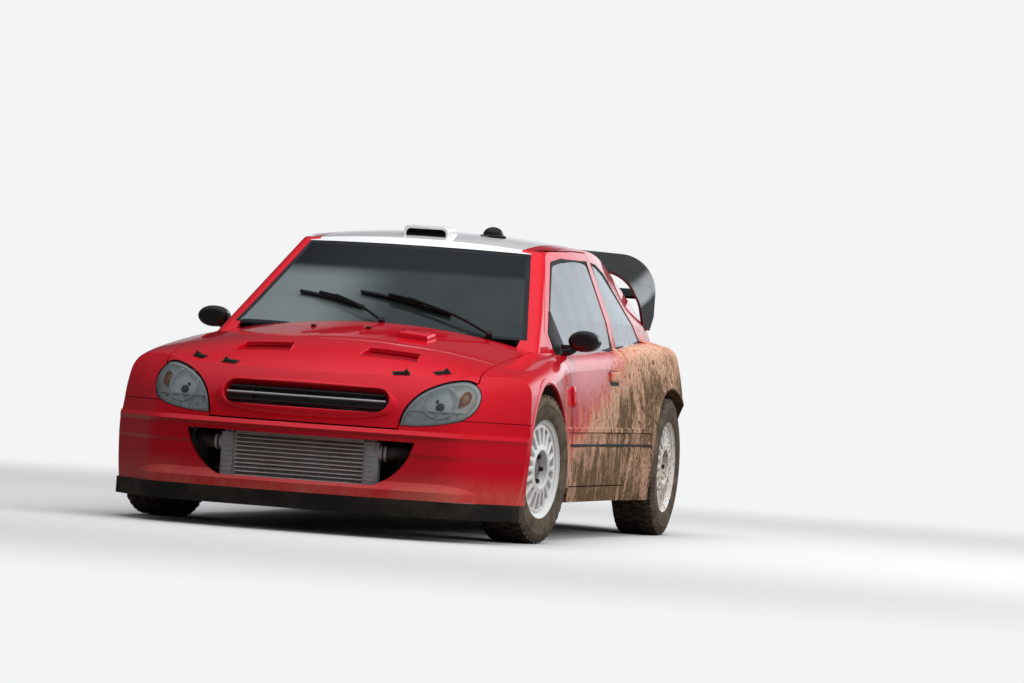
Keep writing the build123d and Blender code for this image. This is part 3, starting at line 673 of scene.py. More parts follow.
def smooth_skin(tree, spots, axis=1):
    """A smooth surface through rays along one axis: returns place(u, v, depth), inwards."""
    others, rows, values = [k for k in (0, 1, 2) if k != axis], [], []
    sign = -1 if axis == 1 else 1
    for u, v in spots:
        start, way = Vector(), Vector()
        start[others[0]], start[others[1]], start[axis], way[axis] = u, v, 3 * sign, -sign
        found = seat(tree, start, way)
        if found:
            rows.append(powers(u, v))
            values.append(found[0][axis])
    fit = numpy.linalg.lstsq(numpy.array(rows), numpy.array(values), rcond=None)[0]

    def level(u, v):
        return float(numpy.dot(powers(u, v), fit))

    def place(u, v, depth=0.0):
        here, point, inward = level(u, v), Vector(), Vector()
        point[others[0]], point[others[1]], point[axis] = u, v, here
        inward[axis] = -sign
        inward[others[0]] = (level(u + 0.01, v) - here) / 0.01 * sign
        inward[others[1]] = (level(u, v + 0.01) - here) / 0.01 * sign
        return point + inward.normalized() * depth
    return place


def rounded(points, radius, steps=5):
    """A closed outline with each corner rounded."""
    made, count = [], len(points)
    for i, (u, v) in enumerate(points):
        ends = []
        for a in (points[i - 1], points[(i + 1) % count]):
            length = math.hypot(a[0] - u, a[1] - v)
            share = min(radius, length * 0.45) / length
            ends.append((u + (a[0] - u) * share, v + (a[1] - v) * share))
        for k in range(steps + 1):
            t = k / steps
            made.append(tuple(ends[0][n] * (1 - t) ** 2 + 2 * (u, v)[n] * t * (1 - t)
                              + ends[1][n] * t * t for n in (0, 1)))
    return made


def inset(edge, amount):
    """A closed outline drawn in by amount; outlines run clockwise here."""
    made, count = [], len(edge)
    for i, (u, v) in enumerate(edge):
        a, b = edge[i - 1], edge[(i + 1) % count]
        length = math.hypot(b[0] - a[0], b[1] - a[1])
        made.append((u + amount * (b[1] - a[1]) / length, v - amount * (b[0] - a[0]) / length))
    return made


def rings(place, loops, close=False):
    """Joins loops of (outline, depth) into one sheet; close fills the last loop to its middle."""
    width = len(loops[0][0])
    corners, faces = net([place(u, v, depth) for edge, depth in loops for u, v in edge], width)
    if close:
        last, (edge, depth) = len(corners) - width, loops[-1]
        corners.append(place(sum(p[0] for p in edge) / width, sum(p[1] for p in edge) / width, depth))
        faces += [(last + q, last + (q + 1) % width, len(corners) - 1) for q in range(width)]
    return corners, faces


def drawn(place, edge, *steps, close=True):
    """A sheet of loops, each the outline drawn in by a distance and laid at a depth."""
    return rings(place, [(inset(edge, amount), depth) for amount, depth in steps], close)


def toward(edge, centre, share):
    return [(centre[0] + (u - centre[0]) * share, centre[1] + (v - centre[1]) * share)
            for u, v in edge]


def circle(centre, radius, steps, squash=1.0):
    return [(centre[0] + radius * math.cos(math.tau * i / steps),
             centre[1] - squash * radius * math.sin(math.tau * i / steps)) for i in range(steps)]


def bowl(place, centre, radius, depth, start, squash=1.0, steps=40):
    """A round cup sunk below the place surface."""
    loops = []
    for k in range(9):
        turn = k / 8 * math.pi / 2
        r = radius * math.cos(turn) ** 0.7 if k < 8 else radius * 0.02
        loops.append((circle(centre, r, steps, squash), start + depth * math.sin(turn)))
    return rings(place, loops, True)


lens_clear = tinted("lens_clear", (0.95, 0.97, 0.97), 0.03, (0.75, 0.78, 0.78))
seal_black = finish_material("seal_black", (0.012, 0.012, 0.012), 0.55)[0]
rim_grey = finish_material("rim_grey", (0.72, 0.75, 0.74), 0.3, 0.1, 0.5)[0]
silver, nt, shader = finish_material("bowl_silver", (0.92, 0.94, 0.94), 0.20, 0.20)
link(nt, ramp(nt, grain(nt, 30, 4), 0.3, 0.7, (0.14, 0.30)), shader.inputs["Roughness"])
bump(nt, shader, grain(nt, 55, 3), 0.20, 0.004)
amber = finish_material("amber_cup", (0.75, 0.36, 0.16), 0.25, 0.4, 0.6)[0]
dark_glass = finish_material("dark_glass", (0.02, 0.025, 0.03), 0.08, coat=1.0)[0]

outline_points = ((0.406, 0.462), (0.434, 0.556), (0.520, 0.632), (0.568, 0.652), (0.618, 0.662),
                  (0.676, 0.640), (0.697, 0.584), (0.676, 0.524), (0.624, 0.489), (0.520, 0.468))
lamp_edge = []
for i in range(0, 10, 2):
    lamp_edge += arc(outline_points[i], outline_points[i + 1], outline_points[(i + 2) % 10], 18)
inside = [(u, v) for share in (0.97, 0.85, 0.7, 0.5, 0.3, 0.1)
          for u, v in toward(lamp_edge, (0.565, 0.565), share)]
on_lamp = smooth_skin(skin("headlamps"), inside)
heart = (0.570, 0.560)


def lamp_loops(*steps):
    """Loops drawn in by a distance, then pulled to the middle by a share, at a depth."""
    return [(toward(inset(lamp_edge, amount), heart, share), depth) for amount, share, depth in steps]


lens = rings(on_lamp, lamp_loops((0.0035, 1, 0.0045), (0.0035, 1, 0.0008), (0.005, 1, 0.0),
                                 (0.009, 1, -0.0008), (0.009, 0.8, -0.0010), (0.009, 0.5, -0.0010),
                                 (0.009, 0.2, -0.0010)), True)
seal_ring = drawn(on_lamp, lamp_edge, (0.0006, 0.012), (0.0006, 0.0006), (0.0016, 0.0), (0.0034, 0.0006),
                  (0.0036, 0.012), close=False)
rim_ring = drawn(on_lamp, lamp_edge, (0.0036, 0.0050), (0.0090, 0.0026), (0.0125, 0.0040),
                 (0.0140, 0.0100), close=False)
lamp_shell = rings(on_lamp, lamp_loops((0.0135, 1, 0.008), (0.0145, 0.97, 0.016), (0.0145, 0.90, 0.026),
                                       (0.0145, 0.75, 0.032), (0.0145, 0.45, 0.035),
                                       (0.0145, 0.15, 0.035)), True)
reflector = bowl(on_lamp, (0.553, 0.574), 0.064, 0.036, 0.011)
collar = rings(on_lamp, [(circle((0.553, 0.574), r, 48), depth) for r, depth in (
    (0.0700, 0.030), (0.0700, 0.0085), (0.0665, 0.0070), (0.0635, 0.0085), (0.0630, 0.016))])
cup, ball, eye, bulb, low_bulb = (bowl(on_lamp, *size) for size in (
    ((0.646, 0.596), 0.021, 0.022, 0.012, 1.5, 28), ((0.646, 0.596), 0.012, -0.012, 0.026, 1.3, 20),
    ((0.556, 0.566), 0.019, -0.014, 0.036, 1.0, 28), ((0.540, 0.590), 0.008, -0.016, 0.040, 1.0, 16),
    ((0.545, 0.512), 0.010, -0.010, 0.028, 1.0, 18)))


def rail(place, line, width, near, far):
    """A bar with eased edges along a line of (u, v) points on a surface, between two depths."""
    corners, last, half = [], len(line) - 1, width / 2
    ease = min(width, far - near) * 0.25
    section = ((-half, far), (-half, near + ease), (ease - half, near), (half - ease, near),
               (half, near + ease), (half, far))
    for i, (u, v) in enumerate(line):
        a, b = line[max(i - 1, 0)], line[min(i + 1, last)]
        length = math.hypot(b[0] - a[0], b[1] - a[1])
        du, dv = -(b[1] - a[1]) / length, (b[0] - a[0]) / length
        corners += [place(u + du * across, v + dv * across, depth) for across, depth in section]
    return bar(corners, 6)


divider = rail(on_lamp, span((0.438, 0.5345), (0.680, 0.5345)), 0.0045, 0.0065, 0.030)
flutes, count = [], 13
for row, (z0, z1, x0, x1) in enumerate(((0.478, 0.505, 0.430, 0.640), (0.505, 0.531, 0.434, 0.672))):
    for i in range(count):
        a, b = (x0 + (x1 - x0) * (i + s) / count for s in (0.0, 1.0))
        deep = 0.022 + 0.006 * ((i * 7 + row * 3) % 5) / 4
        quad = [on_lamp(u, v, depth) for u, v, depth in
                ((a, z0, deep), (b, z0, deep + 0.004), (b, z1, deep - 0.005), (a, z1, deep - 0.008))]
        flutes.append((quad, [(0, 1, 2, 3)]))
piece("headlamp_lenses", pair(lens), lens_clear, "car", "lamp_glass", 60, ("headlamps",))
piece("headlamp_seals", pair(seal_ring), seal_black, "car", smooth=60)
piece("headlamp_rims", pair(rim_ring), rim_grey, "car", smooth=60)
piece("headlamp_bowls", pair(lamp_shell, reflector, collar, divider, *flutes), silver, "car", smooth=35)
piece("headlamp_ambers", pair(cup, ball), amber, "car", smooth=60)
piece("headlamp_eyes", pair(eye, bulb, low_bulb), dark_glass, "car", smooth=60)


# Nose: a raised red ring round the intake, a black plate set back in it, one thin bright bar between
# darker ones, and three dark uprights.
def stadium(a, b, middle, count=120):
    """A clockwise outline with straight long sides and round ends, about (0, middle)."""
    made, straight, turn = [], 2 * (a - b), math.pi * b
    for i in range(count):
        s = (2 * straight + 2 * turn) * i / count
        if s < turn / 2:
            u, v = a - b + b * math.cos(s / b), -b * math.sin(s / b)
        elif s < turn / 2 + straight:
            u, v = a - b - (s - turn / 2), -b
        elif s < turn * 1.5 + straight:
            angle = (s - straight - turn / 2) / b
            u, v = b - a - b * math.sin(angle), -b * math.cos(angle)
        elif s < turn * 1.5 + 2 * straight:
            u, v = b - a + s - turn * 1.5 - straight, b
        else:
            angle = (s - turn * 1.5 - 2 * straight) / b
            u, v = a - b + b * math.sin(angle), b * math.cos(angle)
        made.append((u, middle + v))
    return made


def oval_beyond(edge, a, b, middle, power=2.6):
    """The superellipse points that lie beyond each point of an outline."""
    made = []
    for u, v in edge:
        angle = math.atan2((v - middle) / b, u / a)
        c, s = math.cos(angle), math.sin(angle)
        reach = (abs(c) ** power + abs(s) ** power) ** (-1 / power)
        made.append((a * reach * c, middle + b * reach * s))
    return made


def between(inner, outer, share):
    return [(p[0] + (q[0] - p[0]) * share, p[1] + (q[1] - p[1]) * share)
            for p, q in zip(inner, outer)]


intake = stadium(0.3496, 0.0476, 0.556)
outer = oval_beyond(intake, 0.387, 0.077, 0.545)
spots = [p for share in (0.2, 0.5, 0.8, 1.0, 1.15) for p in between(intake, outer, share)]
on_hood = smooth_skin(skin("hood"), spots)
ring = [(between(intake, outer, share), depth) for share, depth in (
    (1.0, 0.0025), (0.98, -0.0010), (0.80, -0.0055), (0.55, -0.0090), (0.30, -0.0108), (0.12, -0.0112),
    (0.03, -0.0100), (0.0, -0.0078))]
ring += [(inset(intake, 0.0006), -0.002), (inset(intake, 0.0008), 0.028)]
piece("nose_ring", rings(on_hood, ring), gloss_red, "hood", "body_paint", 50, ("grille",))
grille_black, nt, shader = finish_material("grille_black", (0.016, 0.015, 0.014), 0.45)
bump(nt, shader, grain(nt, 300, 2), 0.15, 0.0005)
chrome, nt, shader = finish_material("bright_bar", (0.82, 0.83, 0.84), 0.16, 0.5)
link(nt, ramp(nt, grain(nt, 40, 4), 0.3, 0.75, (0.10, 0.26)), shader.inputs["Roughness"])
plate = drawn(on_hood, intake, (0.001, 0.0275), (0.001, 0.024), (0.006, 0.0225))
dark_bars = [rail(on_hood, span((-w, z), (w, z), 60), 0.0085, 0.004, 0.014)
             for w, z in ((0.333, 0.530), (0.330, 0.584))]
dark_bars += [rail(on_hood, span((x, 0.509), (x, 0.603), 10), 0.008, 0.010, 0.024)
              for x in (-0.230, 0.0, 0.230)]
piece("grille_back", join(plate, *dark_bars), grille_black, "hood", smooth=35)
bright_bar = rail(on_hood, span((-0.338, 0.558), (0.338, 0.558), 60), 0.0065, -0.001, 0.010)
piece("grille_bright_bar", bright_bar, chrome, "hood", "grille_chrome", 35)


# Bumper and cooler: cast end tanks, flat tubes with folded fins between them, two hoses that run
# back from the tanks, and the matt dusty skirt.
def slab(x0, x1, y0, y1, z0, z1, ease=0.0, steps=2):
    """A box between limits with eased edges, as (corners, faces)."""
    box = bmesh.new()
    bmesh.ops.create_cube(box, size=1)
    for v in box.verts:
        v.co = Vector(((x0 + x1) / 2 + v.co.x * (x1 - x0), (y0 + y1) / 2 + v.co.y * (y1 - y0),
                       (z0 + z1) / 2 + v.co.z * (z1 - z0)))
    if ease:
        bmesh.ops.bevel(box, geom=box.edges[:], offset=ease, segments=steps, affect="EDGES")
    box.verts.index_update()
    made = [v.co.copy() for v in box.verts], [tuple(v.index for v in f.verts) for f in box.faces]
    box.free()
    return made


def hose(points, radius, sides=16, steps=8):
    """A round hose on a smooth path through points, with closed ends."""
    points, path = [Vector(p) for p in points], []
    for i in range(len(points) - 1):
        p, q = points[i], points[i + 1]
        a = points[i - 1] if i else p * 2 - q
        b = points[i + 2] if i + 2 < len(points) else q * 2 - p
        for k in range(steps):
            t = k / steps
            path.append((p * 2 + (q - a) * t + (a * 2 - p * 5 + q * 4 - b) * t * t
                         + (p * 3 - a - q * 3 + b) * t ** 3) / 2)
    path.append(points[-1])
    corners, out, last = [], None, len(path) - 1
    for i, here in enumerate(path):
        way = (path[min(i + 1, last)] - path[max(i - 1, 0)]).normalized()
        out = way.orthogonal() if out is None else out - way * out.dot(way)
        out = out.normalized()
        side = way.cross(out)
        corners += [here + (out * math.cos(math.tau * k / sides) + side * math.sin(
            math.tau * k / sides)) * radius for k in range(sides)]
    return bar(corners, sides)


def dusty(name, colour, dust=(0.20, 0.15, 0.105), share=0.6, rough=0.7, metal=0.0, scale=9.0):
    """A plain material with dust worked into it."""
    made, nt, shader = finish_material(name, colour, rough, metal)
    cover = ramp(nt, grain(nt, scale, 7, rough=0.65), 0.36, 0.72, (0.0, share))
    tinge(nt, shader, cover, colour, dust)
    link(nt, ramp(nt, cover, 0.0, 1.0, (rough, 0.9)), shader.inputs["Roughness"])
    bump(nt, shader, grain(nt, 120, 4), 0.25, 0.0008)
    return made


cast = dusty("cast_aluminium", (0.52, 0.53, 0.54), share=0.40, rough=0.42, metal=0.35)
fin_metal = dusty("fin_aluminium", (0.86, 0.84, 0.82), (0.42, 0.36, 0.30), 0.45, 0.45, 0.10, 5.0)
black_rubber = dusty("black_rubber", (0.018, 0.017, 0.017), share=0.35, rough=0.55)
skirt_black = dusty("skirt_black", (0.012, 0.011, 0.009), (0.12, 0.080, 0.050), 0.45, 0.7, scale=4.0)
dress(skirt_black, "front_skirt")
tube_pitch, tube_low, tube_high = 0.0173, 0.2105, 0.2155
tubes = repeated(slab(-0.272, 0.272, -1.986, -1.926, tube_low, tube_high, 0.0012, 1), 11, fin_metal,
                 step=(0, 0, tube_pitch))
fold = []
for i in range(181):
    x, z = -0.270 + 0.003 * i, tube_high if i % 2 else tube_low + tube_pitch
    fold += [Vector((x, -1.9835, z)), Vector((x, -1.930, z))]
fins = repeated(net(fold, 2, False), 10, fin_metal, step=(0, 0, tube_pitch))
frames = [slab(-0.272, 0.272, -1.988, -1.924, z, z + 0.006, 0.001, 1) for z in (0.2035, 0.3905)]
piece("cooler_core", join(tubes, fins, *frames), fin_metal, "car", "cooler_metal", 20,
      ("intercooler",))
tank = slab(0.270, 0.334, -1.992, -1.918, 0.199, 0.401, 0.012, 4)
ribs = repeated(slab(0.282, 0.322, -1.9945, -1.985, 0.228, 0.233, 0.0015, 1), 8, cast,
                step=(0, 0, 0.0205))
neck = hose(((0.318, -1.950, 0.345), (0.345, -1.948, 0.345)), 0.031, 24, 1)
clip_band = hose(((0.352, -1.948, 0.345), (0.362, -1.947, 0.345)), 0.0335, 24, 1)
piece("cooler_tanks", pair(tank, ribs, neck, clip_band), cast, "car", "cooler_metal", 40)
pipe = hose(((0.336, -1.949, 0.345), (0.380, -1.945, 0.345), (0.428, -1.915, 0.352),
             (0.452, -1.860, 0.362), (0.456, -1.780, 0.372), (0.456, -1.700, 0.380)), 0.029, 20)
piece("cooler_hoses", pair(pipe), black_rubber, "car", smooth=60)


# Hood: red walls and a dark mesh in the two vents, a low scoop before the screen, four black clip
# pins, and two washer nozzles near the rear edge.
def grid(u0, u1, v0, v1):
    """Spots on a grid of 50 mm, between whole steps of it."""
    return [(u / 20, v / 20) for u in range(u0, u1) for v in range(v0, v1)]


hood_tree = skin("hood", "cowl_panel")
on_top = smooth_skin(skin("hood"), grid(-12, 13, -37, -20), 2)
vent_edge = traced([(0.148, -1.686), (0.162, -1.562), (0.376, -1.544), (0.392, -1.668)], 12)
vent_wall = drawn(on_top, vent_edge, (-0.003, 0.0015), (-0.002, -0.0014), (0.0, -0.0016), (0.0012, 0.0),
                  (0.0012, 0.026), close=False)
slats = []
for s in (0.22, 0.50, 0.78):
    line = span((0.153 + s * 0.012, -1.686 + s * 0.124), (0.391 - s * 0.014, -1.668 + s * 0.124))
    slats.append(rail(on_top, line, 0.012, 0.016 + 0.003 * s, 0.0185 + 0.003 * s))
piece("hood_vent_walls", pair(vent_wall, *slats), gloss_red, "hood", "body_paint", 35)
mesh_black, nt, shader = finish_material("vent_mesh", (0.020, 0.019, 0.018), 0.6)
holes = texture(nt, "Voronoi", 170).outputs["Distance"]
tinge(nt, shader, ramp(nt, holes, 0.30, 0.42), (0.003, 0.003, 0.003), (0.045, 0.042, 0.040))
vent_floor = drawn(on_top, vent_edge, (0.0010, 0.0262), (0.004, 0.026))
piece("hood_vent_mesh", pair(vent_floor), mesh_black, "hood", smooth=35)

scoop_edge = traced([(0.180, -1.112), (0.335, -1.112), (0.326, -1.232), (0.192, -1.232)], 8)
lift = [(toward(scoop_edge, (0.258, -1.180), share), depth) for share, depth in (
    (1, 0.002), (0.985, -0.004), (0.93, -0.019), (0.84, -0.024), (0.6, -0.026))]
piece("hood_scoop", rings(on_top, lift, True), gloss_red, "hood", "body_paint", 40)

clip_black = dusty("clip_black", (0.02, 0.019, 0.018), share=0.2, rough=0.45)
pins = []
for x, y, turn in ((0.366, -1.812, 8), (0.520, -1.730, 24)):
    found = seat(hood_tree, (x, y, 3), (0, 0, -1))
    tilt = found[1].to_track_quat("Z", "Y").to_matrix().to_4x4()
    place = Matrix.Translation(found[0]) @ tilt @ Matrix.Rotation(math.radians(turn), 4, "Z")
    clip = join(slab(-0.036, 0.036, -0.018, 0.018, -0.001, 0.003, 0.0014),
                slab(-0.030, 0.012, -0.008, 0.008, 0.003, 0.0085, 0.002),
                slab(0.010, 0.030, -0.013, 0.013, 0.003, 0.011, 0.003),
                hose(((0.020, 0, 0.008), (0.020, 0, 0.019)), 0.0052, 14, 1))
    pins.append(moved(clip, place))
piece("hood_pins", pair(*pins), clip_black, "hood", smooth=35)
jets = [placed(slab(-0.011, 0.011, -0.016, 0.016, -0.002, 0.009, 0.0035),
               seat(hood_tree, (x, y, 3), (0, 0, -1))[0]) for x, y in ((-0.218, -1.060), (0.025, -1.068))]
piece("washer_jets", join(*jets), clip_black, "hood", smooth=40)


# Screen: a printed black border round the glass, a white lip of the roof along its top, the box of
# the inside mirror behind it, and two wipers parked half way up.
on_screen = smooth_skin(skin("windscreen"), grid(-13, 14, -17, -3), 2)
screen_line = [(-0.648, -0.764), (-0.498, -0.140), (0.0, -0.232), (0.498, -0.140), (0.648, -0.764),
               (0.330, -0.852), (0.0, -0.884), (-0.330, -0.852)]
header_arc = arc(screen_line[1], screen_line[2], screen_line[3], 20)
screen_edge = span(screen_line[0], screen_line[1], 10)[:-1] + header_arc
for i in range(3, 8):
    screen_edge += span(screen_line[i], screen_line[(i + 1) % 8], 10)[:-1]
border = drawn(on_screen, screen_edge, (-0.001, 0.004), (-0.001, -0.0012), (0.004, -0.0022),
               (0.008, -0.0006), (0.021, -0.0004), (0.021, 0.001), close=False)
print_black = finish_material("print_black", (0.008, 0.008, 0.009), 0.22, coat=0.3)[0]
piece("screen_border", border, print_black, "car", "window_glass", 30)
lip = []
for u, v in header_arc + [screen_line[3]]:
    lip += [on_screen(u, v, -0.0042), on_screen(u, -0.232 + abs(u) * 0.092 / 0.498 + 0.004, -0.0046)]
piece("roof_front_lip", net(lip, 2, False), roof_white, "car", "roof_paint", 60)
header_edge = traced([(-0.066, -0.305), (-0.056, -0.240), (0.148, -0.240), (0.158, -0.305)], 6)
header = drawn(on_screen, header_edge, (0, 0.008), (0.002, 0.05))
piece("mirror_box", header, print_black, "car", smooth=30)
wiper_black = finish_material("wiper_black", (0.012, 0.012, 0.012), 0.38)[0]


def wiper(arm, blade, lift=0.030):
    """An arm from its spindle to the middle of a slim blade that lies on the glass."""
    path = [on_screen(u, v, -h) for (u, v), h in zip(arm, (0.012, 0.030, lift))]
    spindle = (on_screen(*arm[0], 0.01), on_screen(*arm[0], -0.022))
    line = span(*blade, 16)
    return join(hose(path, 0.0065, 10, 6), hose(spindle, 0.014, 18, 1),
                rail(on_screen, line, 0.005, -0.010, -0.0006),
                rail(on_screen, line, 0.013, -0.018, -0.010),
                rail(on_screen, line[5:12], 0.009, -lift - 0.003, -0.017))


wipers = [wiper(arm, blade) for arm, blade in (
    (((0.016, -0.812), (-0.090, -0.742), (-0.226, -0.655)), ((-0.410, -0.581), (-0.090, -0.714))),
    (((0.488, -0.798), (0.320, -0.735), (0.090, -0.652)), ((-0.135, -0.600), (0.292, -0.706))))]
piece("wipers", join(*wipers), wiper_black, "car", smooth=40)


# Sides: rubbers round the door panes and quarter windows, flush door handles, each on a painted
# shadow, the moulding and a painted shade line below it along each side, black mirrors, and covers
# over the upper hinges.
def both_sides(name, shape, material, bodies, slot=None, smooth=40):
    """A piece on the left side and its mirror image on the right, each with its own body."""
    piece(name + "_left", shape, material, bodies[0], slot, smooth)
    piece(name + "_right", mirrored(shape), material, bodies[1], slot, smooth)


def within(points, across=14):
    """Spots all over an outline, drawn in a little."""
    middle = (sum(p[0] for p in points) / len(points), sum(p[1] for p in points) / len(points))
    return [q for k in range(1, across) for q in toward(rounded(points, 0.02), middle, k / across)]


def rubber_loop(place, line, *steps):
    """A moulded rubber along a window's edge: the outline drawn in, rounded, and laid at a depth."""
    return rings(place, [(rounded(inset(line, amount), size), depth) for amount, size, depth in steps])


doors, car = ("door_left", "door_right"), ("car", "car")
for name, pane, line, bodies in (
        ("door_pane", "door_window_left", ((-0.556, 0.792), (-0.550, 0.882), (-0.066, 1.196),
                                           (0.100, 1.216), (0.540, 1.218), (0.566, 0.826)), doors),
        ("quarter_pane", "quarter_windows", ((0.655, 0.832), (0.634, 1.214), (0.760, 1.206),
                                             (0.900, 1.172), (1.352, 0.872)), car)):
    on_pane = smooth_skin(skin(pane), within(line), 0)
    loop = rubber_loop(on_pane, line, (-0.0005, 0.004, 0.006), (-0.0005, 0.004, -0.0044),
                       (0.003, 0.010, -0.0058), (0.009, 0.026, -0.0050), (0.016, 0.036, -0.0006),
                       (0.020, 0.040, 0.001))
    both_sides(name + "_rubber", loop, seal_black, bodies)
    if name == "door_pane":
        sail = rounded(((-0.552, 0.797), (-0.548, 0.884), (-0.396, 0.984), (-0.350, 0.797)), 0.012)
        both_sides("mirror_sail", drawn(on_pane, sail, (0, 0.004), (0, -0.0052), (0.004, -0.0070)),
                   seal_black, doors, smooth=60)

on_door = smooth_skin(skin("door_left"), grid(-11, 12, 5, 15), 0)
flap = rounded(((0.244, 0.688), (0.246, 0.735), (0.410, 0.735), (0.412, 0.688)), 0.016)
shadow = rounded(((0.238, 0.674), (0.240, 0.741), (0.416, 0.741), (0.418, 0.674)), 0.020)
both_sides("door_handle", drawn(on_door, flap, (0, 0.002), (0, -0.0055), (0.003, -0.0095),
                                (0.012, -0.0115)), gloss_red, doors, "body_paint", 60)
# Painted shadow: a flat black pad, a little larger than the flap and just proud of the skin, that stands in
# for the shade round the handle.
both_sides("handle_shadow", drawn(on_door, shadow, (0, 0.002), (0, -0.0012), (0.004, -0.0016)),
           seal_black, doors)
on_side = smooth_skin(skin("door_left", "side_frames", "front_fenders"), grid(-13, 19, 5, 15), 0)
for name, start, stop, bodies in (("fender", -0.864, -0.599, car), ("door", -0.583, 0.606, doors),
                                  ("quarter", 0.622, 0.930, car)):
    # The black strip lower down is painted shade: a dark line that stands in for the shadow below the
    # moulding.
    for kind, z, width, near, finish, slot in (
            ("_moulding", 0.477, 0.022, -0.0075, gloss_red, "body_paint"),
            ("_shade_line", 0.411, 0.013, -0.0016, seal_black, None)):
        strip = rail(on_side, span((start, z), (stop, z)), width, near, 0.004)
        both_sides(name + kind, strip, finish, bodies, slot)
mirror_black = finish_material("mirror_black", (0.014, 0.014, 0.014), 0.28, coat=0.5)[0]
dress(mirror_black, "mirror_left", "mirror_right")
both_sides("mirror_stem", hose(((0.742, -0.462, 0.806), (0.768, -0.462, 0.812), (0.790, -0.456, 0.828),
           (0.806, -0.450, 0.850)), 0.017, 18, 5), mirror_black, doors)
blister = rounded(((-0.578, 0.574), (-0.578, 0.666), (-0.520, 0.666), (-0.520, 0.574)), 0.02)
both_sides("hinge_cover", drawn(on_door, blister, (0, 0.003), (0, -0.004), (0.006, -0.0105),
                                (0.016, -0.012)), gloss_red, doors, "body_paint", 60)


# Roof: the vent's moulded cowl, painted white like the skin it stands on, with a black mouth that
# faces forward, and a low dome of gloss black plastic on a ring.
def rounded_duct(rows, most, share):
    """Upright outlines with round corners, one behind the other, filled at the last one."""
    corners = []
    for y, half, low, high in rows:
        ease = min(most, (high - low) / share)
        for cx, cz, start in ((half - ease, low + ease, -90), (half - ease, high - ease, 0),
                              (ease - half, high - ease, 90), (ease - half, low + ease, 180)):
            corners += [Vector((cx + ease * math.cos(math.radians(start + 90 * k / 6)), y,
                                cz + ease * math.sin(math.radians(start + 90 * k / 6))))
                        for k in range(7)]
    corners, faces = net(corners, 28)
    return corners, faces + [tuple(range(len(corners) - 28, len(corners)))]


cowl = rounded_duct(((-0.060, 0.090, 1.262, 1.306), (-0.0645, 0.094, 1.260, 1.310),
                     (-0.064, 0.099, 1.256, 1.315), (-0.052, 0.101, 1.250, 1.3185),
                     (0.020, 0.101, 1.250, 1.3225), (0.090, 0.098, 1.250, 1.3215),
                     (0.160, 0.090, 1.250, 1.314), (0.232, 0.076, 1.250, 1.299)), 0.020, 2.2)
mouth = rounded_duct(((-0.060, 0.090, 1.262, 1.306), (-0.056, 0.0835, 1.2855, 1.3065),
                      (0.030, 0.0835, 1.2855, 1.3065)), 1.0, 2.1)
piece("roof_vent_cowl", cowl, roof_white, "car", "roof_paint", 50, ("roof_vent",))
piece("roof_vent_mouth", mouth, print_black, "car", smooth=40)
roof_tree = skin("roof_panel", "side_frames", "tailgate", "windscreen")
dome_centre = seat(roof_tree, (0.232, 0.250, 3), (0, 0, -1))[0]
dome_profile = [(-0.004, 0.0), (-0.004, 0.058), (0.005, 0.058), (0.008, 0.055), (0.009, 0.047)]
dome_profile += [(0.009 + 0.036 * math.sin(math.radians(a)), 0.046 * math.cos(math.radians(a)))
                 for a in range(0, 91, 9)]
dome = placed(revolved(dome_profile, 48, False), dome_centre, -90)
dome_gloss = finish_material("dome_gloss", (0.012, 0.012, 0.012), 0.12, coat=0.6)[0]
piece("roof_dome_cap", dome, dome_gloss, "car", "dome_plastic", 40, ("roof_dome",))


# Tail: gloss black wing with a faint weave, red and clear lamps, the hatch glass rubber, a blank plate
# panel, and a black grip above it.
weave, nt, shader = finish_material("wing_weave", (0.020, 0.020, 0.021), 0.30, coat=1.0)
checks = texture(nt, "Checker", 260, turn=(0.4, 0.3, 0.78)).outputs["Fac"]
tinge(nt, shader, checks, (0.016, 0.016, 0.017), (0.044, 0.042, 0.040))
scuff = ramp(nt, grain(nt, 7, 6, rough=0.62), 0.50, 0.72)
link(nt, ramp(nt, scuff, 0.0, 1.0, (0.26, 0.62)), shader.inputs["Roughness"])
dress(weave, "rear_wing")
tail_red, nt, shader = finish_material("tail_red", (0.42, 0.008, 0.010), 0.12, coat=1.0)
bump(nt, shader, texture(nt, "Wave", 26).outputs["Fac"], 0.25, 0.001)
dress(tail_red, "tail_lamps")
lamp_clear = finish_material("reverse_clear", (0.78, 0.78, 0.76), 0.12, coat=1.0)[0]
rear_tree = skin("tailgate", "rear_bumper", "tail_lamps", "side_frames")


def on_rear(u, v, depth=0.0):
    """The rear skin at (x, z), sunk inwards by a depth."""
    point, normal = seat(rear_tree, (u, 3, v), (0, -1, 0))
    return point - normal * depth


lamp_white = rounded(((0.700, 0.655), (0.700, 0.700), (0.742, 0.700), (0.742, 0.655)), 0.02)
shape = drawn(on_rear, lamp_white, (0, 0.001), (0, -0.002), (0.003, -0.003), (0.010, -0.0035))
piece("reverse_lamps", pair(shape), lamp_clear, "car", "tail_glass", 60)
plate_line = rounded(((-0.262, 0.560), (-0.262, 0.676), (0.262, 0.676), (0.262, 0.560)), 0.008)
plate_low, plate_high = on_rear(0, 0.560), on_rear(0, 0.676)


def on_plate(u, v, depth=0.0):
    """The flat face of the plate panel, leaning as the tailgate does at its middle."""
    return plate_low.lerp(plate_high, (v - 0.560) / 0.116) + Vector((u, -depth, 0))


